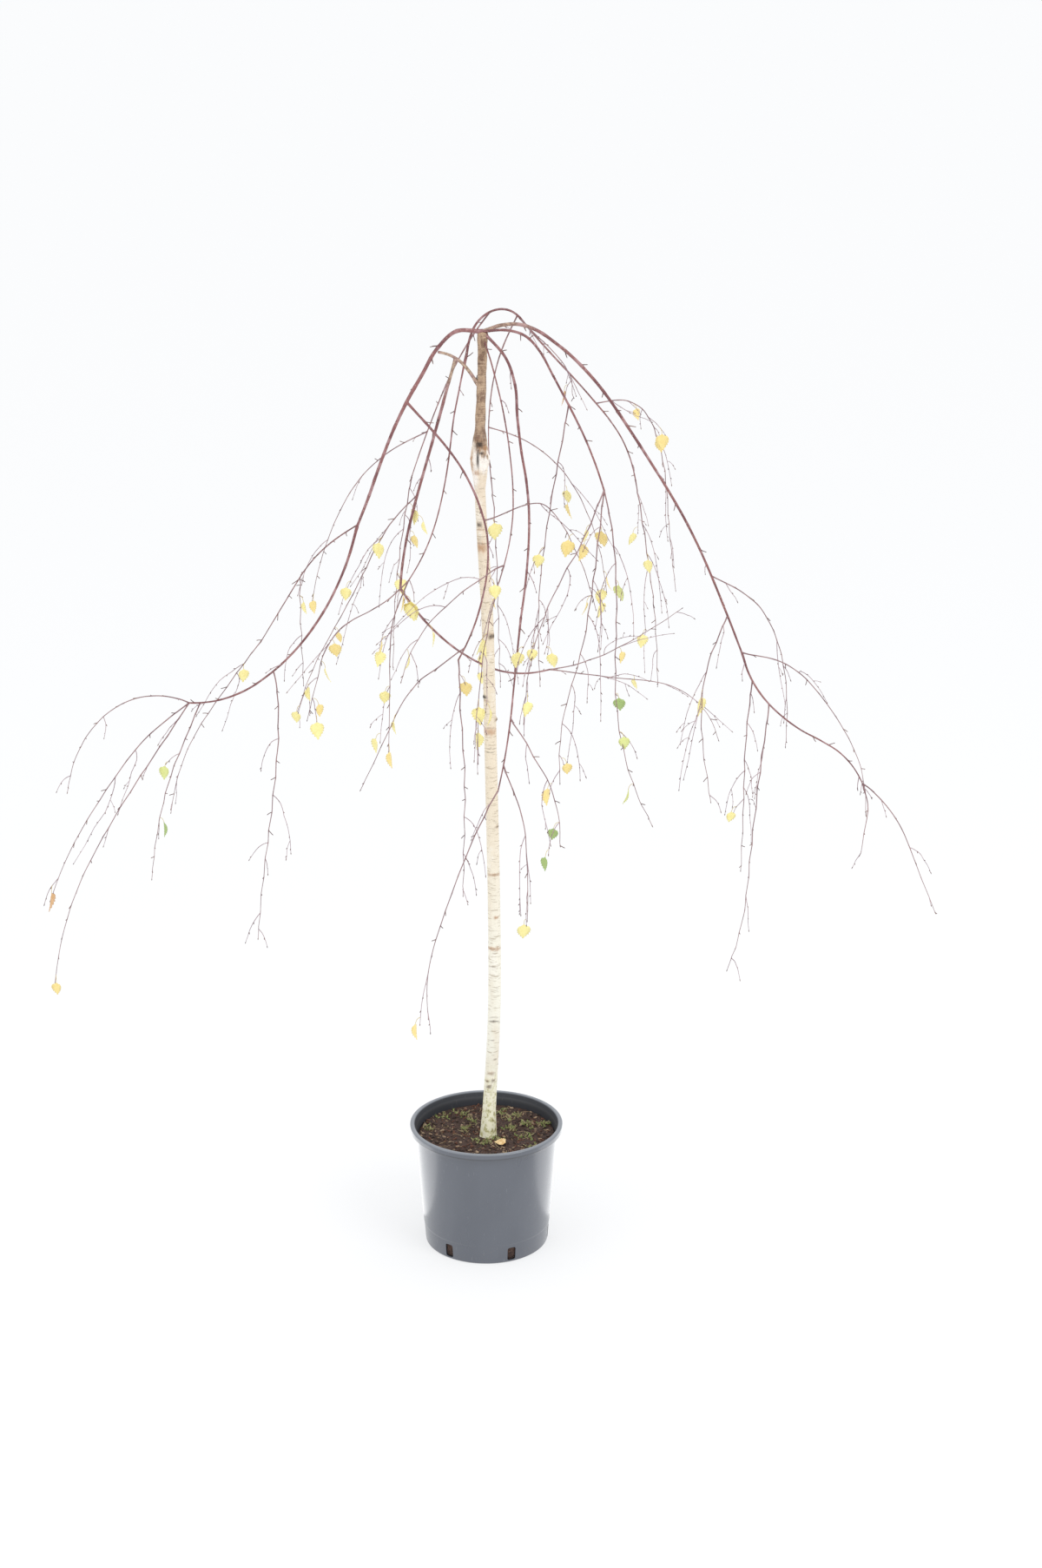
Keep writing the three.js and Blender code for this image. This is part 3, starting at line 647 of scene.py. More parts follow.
def boughSkin(limb, nodes, length):
    # Reach is the solid's mean radius, made slimmer, with a collar that fades from the foot and a
    # swelling at each node; waves of two and three lobes make it uneven.
    s = limb["share"]
    collar = boughs["collarSwell"] * np.exp(-s * length / boughs["collarReach"])
    reach = limb["radius"] * (boughs["slimness"] + collar)
    reach = reach * (1 + boughs["nodeSwell"] * swellAt(s, nodes, length, boughs["nodeLength"]))
    around = np.arange(boughs["sides"]) / boughs["sides"] * 2 * math.pi
    wave = (np.sin(2 * around + 40 * s[:, None] * length + dice.uniform(0, 6))
            + 0.7 * np.sin(3 * around - 95 * s[:, None] * length))
    relief = boughs["unevenness"] * reach[:, None] * wave
    return tubes(limb["line"][None], reach[None], boughs["sides"], relief[None]), reach


boughNames = [name for name in parentOf if "mass" not in name]
boughMaterial = boughBark()
spurLines, spurRadii, boughTwigs = [], [], []
for name in boughNames:
    limb = limbs[name]
    length = lineLength(limb["line"])
    nodes = nodesAlong(limb, boughs["nodeGap"], boughs["nodeShares"])
    part, reach = boughSkin(limb, nodes, length)
    age = (boughs["agedShare"].get(name, -1) - limb["share"]) / boughs["agedFade"] + 0.5
    age = np.clip(age, 0, 1)
    age = np.concatenate([np.repeat(age, boughs["sides"]), age[[0, -1]]])
    makePiece(name + "_bark", part, boughMaterial, [name], {"age": age})
    thick = np.interp(nodes["share"], limb["share"], reach)
    chance = dice.random(len(thick))
    some = chance < spur["share"]
    lengths = dice.uniform(*spur["length"], some.sum())
    starts = nodes["place"][some] + nodes["side"][some] * thick[some, None] * spur["seat"]
    spurLines.append(stretchesOut(starts, nodes["way"][some], nodes["side"][some],
                                  lengths + thick[some] * 0.5, spur["boughOpening"], 0, 5))
    spurRadii.append(np.outer(np.clip(thick[some] * spur["thickness"], *spur["radius"]),
                              spur["boughShape"]))
    bearing = chance > 1 - boughs["twigShare"]
    boughTwigs.append({key: nodes[key][bearing] for key in nodes})
print("boughs barked,", len(boughNames))


# Hanging twigs: a leader down each mass, with side twigs, short spurs and buds.
twigs = {
    "leaderFoot": 0.00105, "leaderTip": 0.00048, "taper": 1.1,
    "leaderSides": 7, "nodeGap": 0.026, "nodeShares": (0.06, 0.97),
    "nodeSwell": 0.22, "nodeLength": 0.003, "footSwell": 0.5, "footReach": 0.006,
    "zigzag": 0.0011,       # sideways kink from node to node
    "bearing": 0.30,        # nodes that carry a side twig
    "innerBearing": 0.46, "innerReach": 1.35,  # the same, and extra length, inside the crown
    "inner": ("inner", "middle", "crossing", "front_low", "rear_low", "mass_top"),
    "spurs": 0.30,          # nodes that carry a short spur
    "sideLength": (0.025, 0.175),
    "fullRoom": 0.034, "roomLimits": (0.35, 1.2),  # half width of the mass for that length
    "tipLength": 0.025, "tipShare": 0.75,          # limits the length by what is left of the mass
    "sideFoot": 0.00070, "sideTip": 0.00044,
    "opening": (0.50, 1.05),  # radians between a side twig and its parent
    "droop": (0.2, 1.0),
    "sidePoints": 16, "sideSides": 5,
    "smallLength": (0.012, 0.036), "smallOpening": (0.6, 1.0), "smallDroop": (0.2, 0.8),
    "smallPoints": 8,
    "longEnough": 0.085,    # a side twig this long carries a smaller one
}
buds = {
    "length": (0.0030, 0.0048), "width": 0.00078,
    "sideGap": 0.021, "smallGap": 0.014,  # between buds on side twigs and on smaller ones
    "leaderLean": 0.75, "sideLean": 0.7,  # how far they lean out from their twig
    "fullness": [0.55, 1.0, 0.85, 0.30],  # width at even places from foot to point
}


def twigBark(name, first, second, speck):
    # two tints mixed by noise, with specks of a third
    material, tree, shader = newMaterial(name, 0.5)
    colour = mixColours(tree, band(tree, noise(tree, 34), 0.36, 0.64), first, second)
    colour = mixColours(tree, dotted(tree, 420.0, 0.24, 0.12, 0.55), colour, speck)
    setColour(tree, shader, colour)
    setBump(tree, shader, noise(tree, 900), 0.00015)
    return material


def anySide(ways):
    # a chance direction square to each way, as its cross product with random numbers
    return unit(np.cross(ways, dice.normal(0, 1, ways.shape)))


def leaderTwig(name, limb, nodes, length):
    # The mass's centre line stepping to alternate sides at its nodes, straight between them. Its
    # radius falls from foot to tip as a power of the way left, and swells at the foot and nodes.
    s = limb["share"]
    steps = np.where(np.arange(len(nodes["share"])) % 2, 1, -1) * twigs["zigzag"]
    kink = np.interp(s, nodes["share"], steps, left=0, right=0)
    line = limb["line"] + kink[:, None] * limb["across"]
    aside = readAt(nodes["share"], s, limb["across"])
    nodes["place"] = nodes["place"] + 0.9 * steps[:, None] * aside
    foot = min(limbs[parentOf[name]]["radius"][-1] * 0.95, twigs["leaderFoot"])
    radius = twigs["leaderTip"] + (foot - twigs["leaderTip"]) * (1 - s) ** twigs["taper"]
    radius = radius * (1 + twigs["nodeSwell"] * swellAt(s, nodes, length, twigs["nodeLength"]))
    radius = radius * (1 + twigs["footSwell"] * np.exp(-s * length / twigs["footReach"]))
    return line, tubes(line[None], radius[None], twigs["leaderSides"])


massNames = [name for name in parentOf if "mass" in name]
leaderParts, sideLines, sideRadii, budAt, budWay = [], [], [], [], []
leafSpots = {}
taper = np.linspace(1, 0, twigs["sidePoints"]) ** twigs["taper"]
sideTaper = twigs["sideTip"] + (twigs["sideFoot"] - twigs["sideTip"]) * taper
boughTwigTaper = np.linspace(boughs["twigFoot"], twigs["sideTip"], twigs["sidePoints"])
spurTaper = np.array(spur["twigShape"]) * spur["twigRadius"]
for name in massNames:
    limb = limbs[name]
    length = lineLength(limb["line"])
    nodes = nodesAlong(limb, twigs["nodeGap"], twigs["nodeShares"])
    line, leader = leaderTwig(name, limb, nodes, length)
    leaderParts.append(leader)
    count = len(nodes["share"])
    chance = dice.random(count)
    inside = any(word in name for word in twigs["inner"])
    bearing = chance < (twigs["innerBearing"] if inside else twigs["bearing"])
    short = chance > 1 - twigs["spurs"]
    # side twigs stay near their mass: short where it is narrow and towards its tip
    room = np.interp(nodes["share"], limb["share"], limb["width"]) / twigs["fullRoom"]
    reach = dice.uniform(*twigs["sideLength"], count) * np.clip(room, *twigs["roomLimits"])
    reach = reach * (twigs["innerReach"] if inside else 1)
    left = (1 - nodes["share"]) * length * twigs["tipShare"]
    reach = np.minimum(reach, twigs["tipLength"] + left)
    opening = dice.uniform(*twigs["opening"], count)
    droop = dice.uniform(*twigs["droop"], count)
    made = stretchesOut(nodes["place"][bearing], nodes["way"][bearing], nodes["side"][bearing],
                        reach[bearing], opening[bearing], droop[bearing], twigs["sidePoints"])
    sideLines.append(made)
    sideRadii.append(np.broadcast_to(sideTaper, made.shape[:2]))
    spurs = stretchesOut(nodes["place"][short], nodes["way"][short], nodes["side"][short],
                         dice.uniform(*spur["length"], short.sum()), spur["twigOpening"], 0, 5)
    spurLines.append(spurs)
    spurRadii.append(np.broadcast_to(spurTaper, spurs.shape[:2]))
    bare = ~bearing & ~short
    budAt += [nodes["place"][bare], line[-1:]]
    budWay += [nodes["way"][bare] + buds["leaderLean"] * nodes["side"][bare], alongLine(line)[-1:]]
    spots = np.vstack([nodes["place"], made[:, 5], made[:, 9], made[:, 13]])
    leafSpots[name] = (spots, np.vstack([nodes["side"]] + [nodes["side"][bearing]] * 3))

# side twigs on the boughs themselves
for nodes in boughTwigs:
    count = len(nodes["share"])
    made = stretchesOut(nodes["place"], nodes["way"], nodes["side"],
                        dice.uniform(*boughs["twigLength"], count),
                        dice.uniform(*boughs["twigOpening"], count),
                        dice.uniform(*boughs["twigDroop"], count), twigs["sidePoints"])
    sideLines.append(made)
    sideRadii.append(np.broadcast_to(boughTwigTaper, made.shape[:2]))
sideLines, sideRadii = np.concatenate(sideLines), np.concatenate(sideRadii)

# a smaller twig on each long side twig
longOnes = sideLines[lineLength(sideLines) > twigs["longEnough"]]
order = np.arange(len(longOnes))
pick = dice.integers(4, twigs["sidePoints"] - 3, len(longOnes))
smallWay = alongLine(longOnes)[order, pick]
smallLines = stretchesOut(longOnes[order, pick], smallWay, anySide(smallWay),
                          dice.uniform(*twigs["smallLength"], len(pick)),
                          dice.uniform(*twigs["smallOpening"], len(pick)),
                          dice.uniform(*twigs["smallDroop"], len(pick)), twigs["smallPoints"])

# Buds up the side twigs: one at the first point past each gap, leaning to alternate sides. More
# sit at the twigs' tips and on the spurs.
for lines, gapLength in ((sideLines, buds["sideGap"]), (smallLines, buds["smallGap"])):
    way = alongLine(lines)
    gaps = np.floor(np.linalg.norm(np.diff(lines, axis=1), axis=2).cumsum(axis=1) / gapLength)
    twig, station = np.nonzero(gaps[:, 1:] > gaps[:, :-1])
    station = station + 1
    tangent = way[twig, station]
    flip = np.where(station % 2, 1.0, -1.0)[:, None]
    budAt += [lines[twig, station], lines[:, -1]]
    budWay += [tangent + buds["sideLean"] * anySide(tangent) * flip, way[:, -1]]
spurLines, spurRadii = np.concatenate(spurLines), np.concatenate(spurRadii)
budAt = np.concatenate(budAt + [spurLines[:, -1]])
budWay = unit(np.concatenate(budWay + [spurLines[:, -1] - spurLines[:, -2]]))

leaderBark = twigBark("purple_brown_twig_bark",
                      rgb(124, 92, 96), rgb(156, 124, 124), rgb(188, 162, 158))
fineBark = twigBark("grey_pink_twig_bark",
                    rgb(144, 118, 126), rgb(178, 154, 158), rgb(198, 176, 172))
budScales = twigBark("dark_bud_scales", rgb(96, 72, 72), rgb(132, 102, 94), rgb(156, 130, 108))
makePiece("hanging_twigs", joinParts(leaderParts), leaderBark, massNames)
makePiece("side_twigs", tubes(sideLines, sideRadii, twigs["sideSides"]), fineBark)
makePiece("small_twigs", tubes(smallLines, np.full(smallLines.shape[:2], twigs["sideTip"]), 5),
          fineBark)
makePiece("short_spurs", tubes(spurLines, spurRadii, 6), budScales)
budLength = dice.uniform(*buds["length"], len(budAt))
budReach = budLength[:, None] * np.linspace(-0.1, 0.9, len(buds["fullness"]))
budLines = budAt[:, None] + budWay[:, None] * budReach[..., None]
budRadii = np.broadcast_to(np.array(buds["fullness"]) * buds["width"], budLines.shape[:2])
makePiece("twig_buds", tubes(budLines, budRadii, 5), budScales)
print("twigs grown:", len(massNames), "leaders,", len(sideLines), "side twigs,", len(smallLines),
      "small twigs,", len(budAt), "buds")


# The last leaves, in five plain tints.
leaf = {
    "length": (0.020, 0.029), "width": 0.82,   # width over length
    "large": (0.10, 1.35),  # share of larger leaves, and how much longer they are
    "stalk": (0.010, 0.016), "stalkRadius": 0.0004, "stalkPoints": 6,
    "stalkLevel": 0.35, "stalkDrop": 0.75,       # how fast a stalk stops going out and drops
    "hang": (0.6, 1.8),     # pull downwards on the blade, over its stalk's own direction
    "columns": 5, "rows": 15,
    "outline": ([0, 0.06, 0.15, 0.28, 0.45, 0.62, 0.78, 0.90, 1],
                [0.04, 0.42, 0.82, 1.0, 0.95, 0.75, 0.44, 0.17, 0.0]),
    "tooth": 0.08, "toothShift": 0.035,          # over the half width, and over the length
    "fold": 0.20,           # how far the two halves are folded up, over the half width
    "curl": 0.22, "curlRange": (0.3, 1.3),       # how far the blade bends back, over its length
    "pleat": 0.018,         # rise of the side veins, over the half width
    "thickness": 0.00025,
}
# How many leaves are left on each mass, and the tint that most of them have turned.
leavesLeft = {
    "mass_left_low": (1, "yellow"), "mass_left_third": (2, "lime"), "mass_left_tip": (1, "brown"),
    "mass_left_rear": (1, "yellow"), "mass_left_rear_high": (1, "gold"),
    "mass_left_inner": (6, "yellow"), "mass_left_middle": (7, "yellow"),
    "mass_rear_left_hanging": (4, "yellow"), "mass_rear_left": (3, "yellow"),
    "mass_rear_left_outer": (1, "gold"), "mass_front_left_side": (1, "yellow"),
    "mass_front_left_low": (1, "yellow"), "mass_front_crossing": (3, "yellow"),
    "mass_front_inner": (4, "yellow"), "mass_front_middle": (5, "yellow"),
    "mass_front_low": (1, "yellow"), "mass_front_low_right": (1, "yellow"),
    "mass_front_side_right": (2, "lime"), "mass_rear_middle": (4, "yellow"),
    "mass_front_right_middle": (5, "gold"), "mass_front_right_inner": (5, "yellow"),
    "mass_front_right_near": (3, "yellow"), "mass_front_right_outer": (4, "lime"),
    "mass_rear_right_rising": (1, "yellow"), "mass_rear_right_level": (1, "yellow"),
    "mass_rear_right_outer": (3, "yellow"), "mass_rear_low": (3, "yellow"),
    "mass_rear_outer": (3, "gold"), "mass_top": (1, "brown"), "mass_right_inner": (1, "gold"),
    "mass_right_hanging": (1, "yellow"),
}
tints = {
    "yellow": rgb(242, 232, 161), "gold": rgb(240, 219, 147), "lime": rgb(216, 223, 147),
    "green": rgb(165, 190, 120), "brown": rgb(212, 166, 112),
}
otherTint = {"yellow": "gold", "gold": "yellow", "lime": "green", "brown": "gold"}
sameTint = 0.72             # share of a mass's leaves that have its own tint


def leafMaterial(tint):
    # one plain tint, a little darker in uneven patches and freckled with brown
    material, tree, shader = newMaterial("leaf_" + tint, 0.55)
    uneven, freckles = noise(tree, 140), noise(tree, 700)
    darker = tuple(part * shade for part, shade in zip(tints[tint], (0.93, 0.88, 0.74, 1)))
    colour = mixColours(tree, band(tree, uneven, 0.40, 0.66, 0, 0.6), tints[tint], darker)
    freckled = band(tree, freckles, 0.66, 0.74, 0, 0.7)
    setColour(tree, shader, mixColours(tree, freckled, colour, rgb(150, 96, 52)))
    setBump(tree, shader, noise(tree, 420), 0.0003, 0.6)
    return material


def leafBlades(stalkEnds, hangs, faces, lengths, droops):
    # Blades as grids: across goes from edge to edge and along from stalk to point. Half width is
    # the outline's, with a tooth at every other row; both halves fold up from the midrib, the
    # blade bends back as the square of the way along, and rows rise in turn as side veins.
    columns, rows = leaf["columns"], leaf["rows"]
    across = np.linspace(-1, 1, columns)[None]
    along = np.linspace(0, 1, rows)[:, None]
    half = np.interp(along, *leaf["outline"]) * leaf["width"] / 2
    toothed = np.where(np.arange(rows) % 2, 1, -1)[:, None]
    edge = np.abs(across) == 1
    x = across * half * (1 + leaf["tooth"] * toothed * edge)
    y = along + leaf["toothShift"] * toothed * edge * (along > 0) * (along < 1)
    z = leaf["fold"] * np.abs(x) + leaf["pleat"] * toothed * (across != 0) * half
    z = z[None] - droops[:, None, None] * along[None] ** 2
    x, y = np.broadcast_to(x, z.shape), np.broadcast_to(y, z.shape)
    sideways = np.cross(hangs, faces)
    grid = (x[..., None] * sideways[:, None, None] + y[..., None] * hangs[:, None, None]
            + z[..., None] * faces[:, None, None]) * lengths[:, None, None, None]
    grid += stalkEnds[:, None, None]
    row, column = np.meshgrid(np.arange(rows - 1), np.arange(columns - 1), indexing="ij")
    low = row * columns + column
    quads = np.stack([low, low + 1, low + columns + 1, low + columns], -1).reshape(-1, 4)
    shift = (np.arange(len(lengths)) * rows * columns)[:, None, None]
    return grid.reshape(-1, 3), (quads[None] + shift).reshape(-1, 4), np.empty((0, 3), int)


def leafPiece(name, blades, material):
    # the blades given their thickness, half to each side
    piece = makePiece(name, blades, material)
    skin = piece.modifiers.new("leaf thickness", "SOLIDIFY")
    skin.thickness, skin.offset = leaf["thickness"], 0


spotList, outList, tintList = [], [], []
for name, (count, tint) in leavesLeft.items():
    spots, outward = leafSpots[name]
    chosen = dice.choice(len(spots), count, replace=False)
    spotList.append(spots[chosen])
    outList.append(outward[chosen])
    tintList += [tint if dice.random() < sameTint else otherTint[tint] for _ in range(count)]
spots, outward, tintList = np.concatenate(spotList), np.concatenate(outList), np.array(tintList)
count = len(spots)
# Stalks: out from the twig and down, the one fading and the other growing with the square of the
# way along. The blades hang from their ends and face mostly forwards and up.
outward = outward + dice.normal(0, 0.5, outward.shape)
outward[:, 2] = np.abs(outward[:, 2]) * 0.3
outward = unit(outward)
stalkLength = dice.uniform(*leaf["stalk"], count)
bend = np.linspace(0, 1, leaf["stalkPoints"])[None, :, None]
down = np.array([0, 0, -1.0])
stalkLines = spots[:, None] + stalkLength[:, None, None] * (
    outward[:, None] * (bend - leaf["stalkLevel"] * bend**2) + down * leaf["stalkDrop"] * bend**2)
hangs = unit(stalkLines[:, -1] - stalkLines[:, -2])
hangs = unit(hangs + down * dice.uniform(*leaf["hang"], (count, 1)))
faces = squared(dice.normal(0, 1, hangs.shape) + np.array([0, -0.7, 0.5]), hangs)
lengths = dice.uniform(*leaf["length"], count)
largeShare, larger = leaf["large"]
lengths[dice.random(count) < largeShare] *= larger
droops = dice.uniform(*leaf["curlRange"], count) * leaf["curl"]
for tint in tints:
    some = tintList == tint
    blades = leafBlades(stalkLines[some, -1], hangs[some], faces[some], lengths[some], droops[some])
    leafPiece("leaves_" + tint, blades, leafMaterial(tint))
stalkRadii = np.full(stalkLines.shape[:2], leaf["stalkRadius"])
stalkMaterial = twigBark("leaf_stalks", rgb(196, 170, 92), rgb(206, 184, 110), rgb(180, 140, 80))
makePiece("leaf_stalks", tubes(stalkLines, stalkRadii, 5), stalkMaterial)
print("leaves hung:", count)


# The potting soil: a crumbly top with bark bits, fibres, moss and one fallen leaf.
soil = {
    "sides": 160, "topRings": 46, "wallRows": 12,
    "bank": 0.0060,         # how much higher it lies by the wall than round the stem
    "lumps": 260, "lumpHeight": 0.0030, "lumpSize": (0.004, 0.013),
    "lumpLimits": (-0.0025, 0.0050),
    "crumbs": 0.0005,       # height of the fine unevenness
    "wallFade": 0.012,      # it is level again this near the wall
    "chips": 900, "chipLength": (0.0022, 0.0080), "chipFlatness": (0.12, 0.4),
    "stemClear": 0.017,     # no chip lies this near the axis, where the stem stands
    "fibres": 90, "fibreLength": (0.005, 0.016), "fibreRadius": 0.00028, "fibrePoints": 6,
    "mossShoots": 6, "mossSpread": 0.0042, "mossHeight": (0.002, 0.007), "mossPoints": 6,
    "leafletLength": (0.0016, 0.0034),
}
# Moss tufts: place in the pot, spread, how many small clumps.
mossTufts = [
    (-0.076, 0.072, 0.010, 3), (-0.048, 0.080, 0.008, 4), (-0.030, 0.052, 0.010, 3),
    (-0.098, 0.020, 0.008, 2), (0.046, 0.074, 0.010, 5), (0.040, 0.030, 0.016, 6),
    (0.068, 0.038, 0.012, 7), (0.058, -0.008, 0.018, 4), (0.100, 0.034, 0.010, 3),
    (0.004, -0.026, 0.010, 5), (0.022, -0.012, 0.008, 3), (-0.018, -0.018, 0.006, 2),
    (-0.040, 0.025, 0.008, 3), (0.030, 0.092, 0.010, 3), (0.080, -0.045, 0.012, 2),
]
soilPoints = weldedNode("potting_soil")[0]
soilFoot, soilFace = soilPoints[:, 2].min(), soilHeight - 0.0005
fromAxis = np.hypot(soilPoints[:, 0], soilPoints[:, 1])
footRadius = fromAxis[soilPoints[:, 2] < soilFoot + 0.002].max()
faceRadius = fromAxis[soilPoints[:, 2] > soilFoot + 0.100].max()  # well above the foot
lumpPlace = dice.uniform(-faceRadius, faceRadius, (soil["lumps"], 2))
lumpSize = dice.uniform(*soil["lumpSize"], soil["lumps"])
lumpRise = dice.uniform(-0.6, 1.0, soil["lumps"]) * soil["lumpHeight"]


def soilLevelAt(x, y):
    # The flat level, a bank that rises towards the wall, and round humps and dips with fine
    # ripples, both fading out at the pot's wall.
    off = (x[..., None] - lumpPlace[:, 0]) ** 2 + (y[..., None] - lumpPlace[:, 1]) ** 2
    humps = (lumpRise * np.exp(-off / lumpSize**2)).sum(axis=-1)
    ripples = soil["crumbs"] * np.sin(900 * x + 3 * np.sin(500 * y))
    ripples = ripples * np.sin(800 * y + 2 * np.sin(620 * x))
    fade = np.clip((faceRadius - np.hypot(x, y)) / soil["wallFade"], 0, 1)
    bank = soil["bank"] * np.clip(np.hypot(x, y + 0.02) / faceRadius - 0.25, 0, 1) ** 1.3
    humps = np.clip(humps, *soil["lumpLimits"])
    return soilFace + 0.0012 + bank + humps * fade + ripples * fade


def soilSkin():
    # rings carried up the side and then in over the top, closed on a point at each end
    turn = np.arange(soil["sides"]) / soil["sides"] * 2 * math.pi
    side = np.linspace(0, 1, soil["wallRows"])[:, None]
    wallRadius = footRadius + (faceRadius - footRadius) * side
    topRadius = faceRadius * np.linspace(1, 0.012, soil["topRings"])[1:, None]
    radius = np.vstack([wallRadius, topRadius]) + 0 * turn
    x, y = radius * np.cos(turn), radius * np.sin(turn)
    rim = soilLevelAt(x[soil["wallRows"] - 1], y[soil["wallRows"] - 1])
    z = np.vstack([soilFoot + (rim - soilFoot) * side,
                   soilLevelAt(x[soil["wallRows"]:], y[soil["wallRows"]:])])
    places = np.vstack([np.stack([x, y, z], -1).reshape(-1, 3), [0, 0, soilFoot],
                        [0, 0, z[-1].mean()]])
    return (places, *ringFaces(*x.shape))


def crumblyEarth(name, dark, middle, light):
    # three tones in one pattern of fine noise, which also lifts the surface
    material, tree, shader = newMaterial(name, 0.95)
    crumbs = noise(tree, 330, (1, 1, 1), 5, 0.65)
    colour = mixColours(tree, band(tree, crumbs, 0.34, 0.56), dark, middle)
    colour = mixColours(tree, band(tree, crumbs, 0.60, 0.72, 0, 0.8), colour, light)
    setColour(tree, shader, colour)
    setBump(tree, shader, crumbs, 0.0015)
    return material


def chipShapes(count, lengthRange, flatness):
    # Boxes with every corner pushed about, tipped slightly and then turned anyhow, lying evenly
    # over the soil's round face.
    corner = np.array(np.meshgrid([-1, 1], [-1, 1], [-1, 1], indexing="ij")).reshape(3, 8).T * 0.5
    length = dice.uniform(*lengthRange, count)
    size = np.stack([length, length * dice.uniform(0.25, 0.6, count),
                     length * dice.uniform(*flatness, count)], -1)
    shape = (corner[None] + dice.uniform(-0.2, 0.2, (count, 8, 3))) * size[:, None]
    turn, tip = dice.uniform(0, 2 * math.pi, count), dice.normal(0, 0.35, count)
    c, s, ct, st = np.cos(turn), np.sin(turn), np.cos(tip), np.sin(tip)
    zero, one = np.zeros(count), np.ones(count)
    level = np.stack([np.stack([c, -s, zero], -1), np.stack([s, c, zero], -1),
                      np.stack([zero, zero, one], -1)], 1)
    tilt = np.stack([np.stack([ct, zero, st], -1), np.stack([zero, one, zero], -1),
                     np.stack([-st, zero, ct], -1)], 1)
    shape = np.einsum("nij,njk,nvk->nvi", level, tilt, shape)
    away = faceRadius * 0.985 * np.sqrt(dice.random(count))
    angle = dice.uniform(0, 2 * math.pi, count)
    x, y = away * np.cos(angle), away * np.sin(angle)
    clear = np.hypot(x, y) > soil["stemClear"]
    place = np.stack([x, y, soilLevelAt(x, y) + size[:, 2] * 0.25], -1)
    shape = (shape + place[:, None])[clear]
    quad = np.array([[0, 1, 3, 2], [4, 6, 7, 5], [0, 4, 5, 1], [2, 3, 7, 6], [0, 2, 6, 4],
                     [1, 5, 7, 3]])
    shift = (np.arange(len(shape)) * 8)[:, None, None]
    return shape.reshape(-1, 3), (quad[None] + shift).reshape(-1, 4), np.empty((0, 3), int)


makePiece("potting_soil_crumbs", soilSkin(),
          crumblyEarth("dark_potting_soil", rgb(26, 20, 18), rgb(78, 58, 50), rgb(136, 114, 98)),
          ["potting_soil"])
chipTints = {
    "dark_bark_bits": (0.46, rgb(34, 26, 24), rgb(74, 56, 48), rgb(112, 88, 76)),
    "red_bark_bits": (0.30, rgb(70, 42, 34), rgb(110, 74, 58), rgb(146, 108, 88)),
    "pale_bark_bits": (0.24, rgb(124, 102, 82), rgb(170, 146, 120), rgb(206, 188, 164)),
}
for name, (part, *colours) in chipTints.items():
    chips = chipShapes(int(soil["chips"] * part), soil["chipLength"], soil["chipFlatness"])
    makePiece(name, chips, crumblyEarth(name, *colours))

# Thin straw-like fibres: level arcs from chance places, each bending evenly on its way.
fibreStart = chipShapes(soil["fibres"], (0.001, 0.002), (0.2, 0.3))[0]
fibreStart = fibreStart.reshape(-1, 8, 3).mean(axis=1)
fibreTurn = dice.uniform(0, 2 * math.pi, len(fibreStart))
fibreBend = dice.normal(0, 0.8, len(fibreStart))
along = np.linspace(0, 1, soil["fibrePoints"])[None]
reach = along * dice.uniform(*soil["fibreLength"], len(fibreStart))[:, None]
fibreWay = fibreTurn[:, None] + fibreBend[:, None] * along
fibreX = fibreStart[:, :1] + reach * np.cos(fibreWay)
fibreY = fibreStart[:, 1:2] + reach * np.sin(fibreWay)
inside = np.clip(0.97 * faceRadius / np.hypot(fibreX, fibreY), None, 1)
fibreX, fibreY = fibreX * inside, fibreY * inside
fibreLines = np.stack([fibreX, fibreY, soilLevelAt(fibreX, fibreY) + 0.0012], -1)
fibreRadii = np.full(fibreLines.shape[:2], soil["fibreRadius"])
straw = twigBark("straw_fibres", rgb(170, 142, 100), rgb(206, 184, 142), rgb(140, 110, 76))
makePiece("soil_fibres", tubes(fibreLines, fibreRadii, 4), straw)

# Moss: clumps of small leaning shoots, each set with short leaflets that point anyhow.
clumpPlace = np.concatenate([np.array([[x, y]]) + dice.normal(0, spread, (clumps, 2)) * 0.6
                             for x, y, spread, clumps in mossTufts])
clumpPlace *= np.clip(faceRadius * 0.94 / np.hypot(*clumpPlace.T), None, 1)[:, None]
shootPlace = np.repeat(clumpPlace, soil["mossShoots"], axis=0)
shootPlace = shootPlace + dice.normal(0, soil["mossSpread"], shootPlace.shape)
lean = dice.normal(0, 0.5, shootPlace.shape)
height = dice.uniform(*soil["mossHeight"], len(shootPlace))[:, None, None]
rise = np.linspace(0, 1, soil["mossPoints"])[None, :, None]
upward = np.broadcast_to(rise - 0.25 * rise**2, (len(lean), soil["mossPoints"], 1))
shootBase = np.column_stack([shootPlace, soilLevelAt(*shootPlace.T) - 0.001])
shootWay = np.concatenate([lean[:, None] * rise**1.6, upward], axis=2)
shootLines = shootBase[:, None] + height * shootWay
fresh = dice.random(len(shootLines)) < 0.5
shootRadii = np.array([0.0005, 0.0006, 0.0009, 0.0008, 0.0007, 0.0003])
leafletStart = np.repeat(shootLines[:, 2:].reshape(-1, 3), 2, axis=0)
leafletWay = unit(dice.normal(0, 1, leafletStart.shape) + [0, 0, 0.5])
leafletReach = np.linspace(0, 1, 3)[None, :, None] * dice.uniform(
    *soil["leafletLength"], (len(leafletStart), 1, 1))
leafletLines = leafletStart[:, None] + leafletWay[:, None] * leafletReach
leafletRadii = np.array([0.00025, 0.00055, 0.0001])


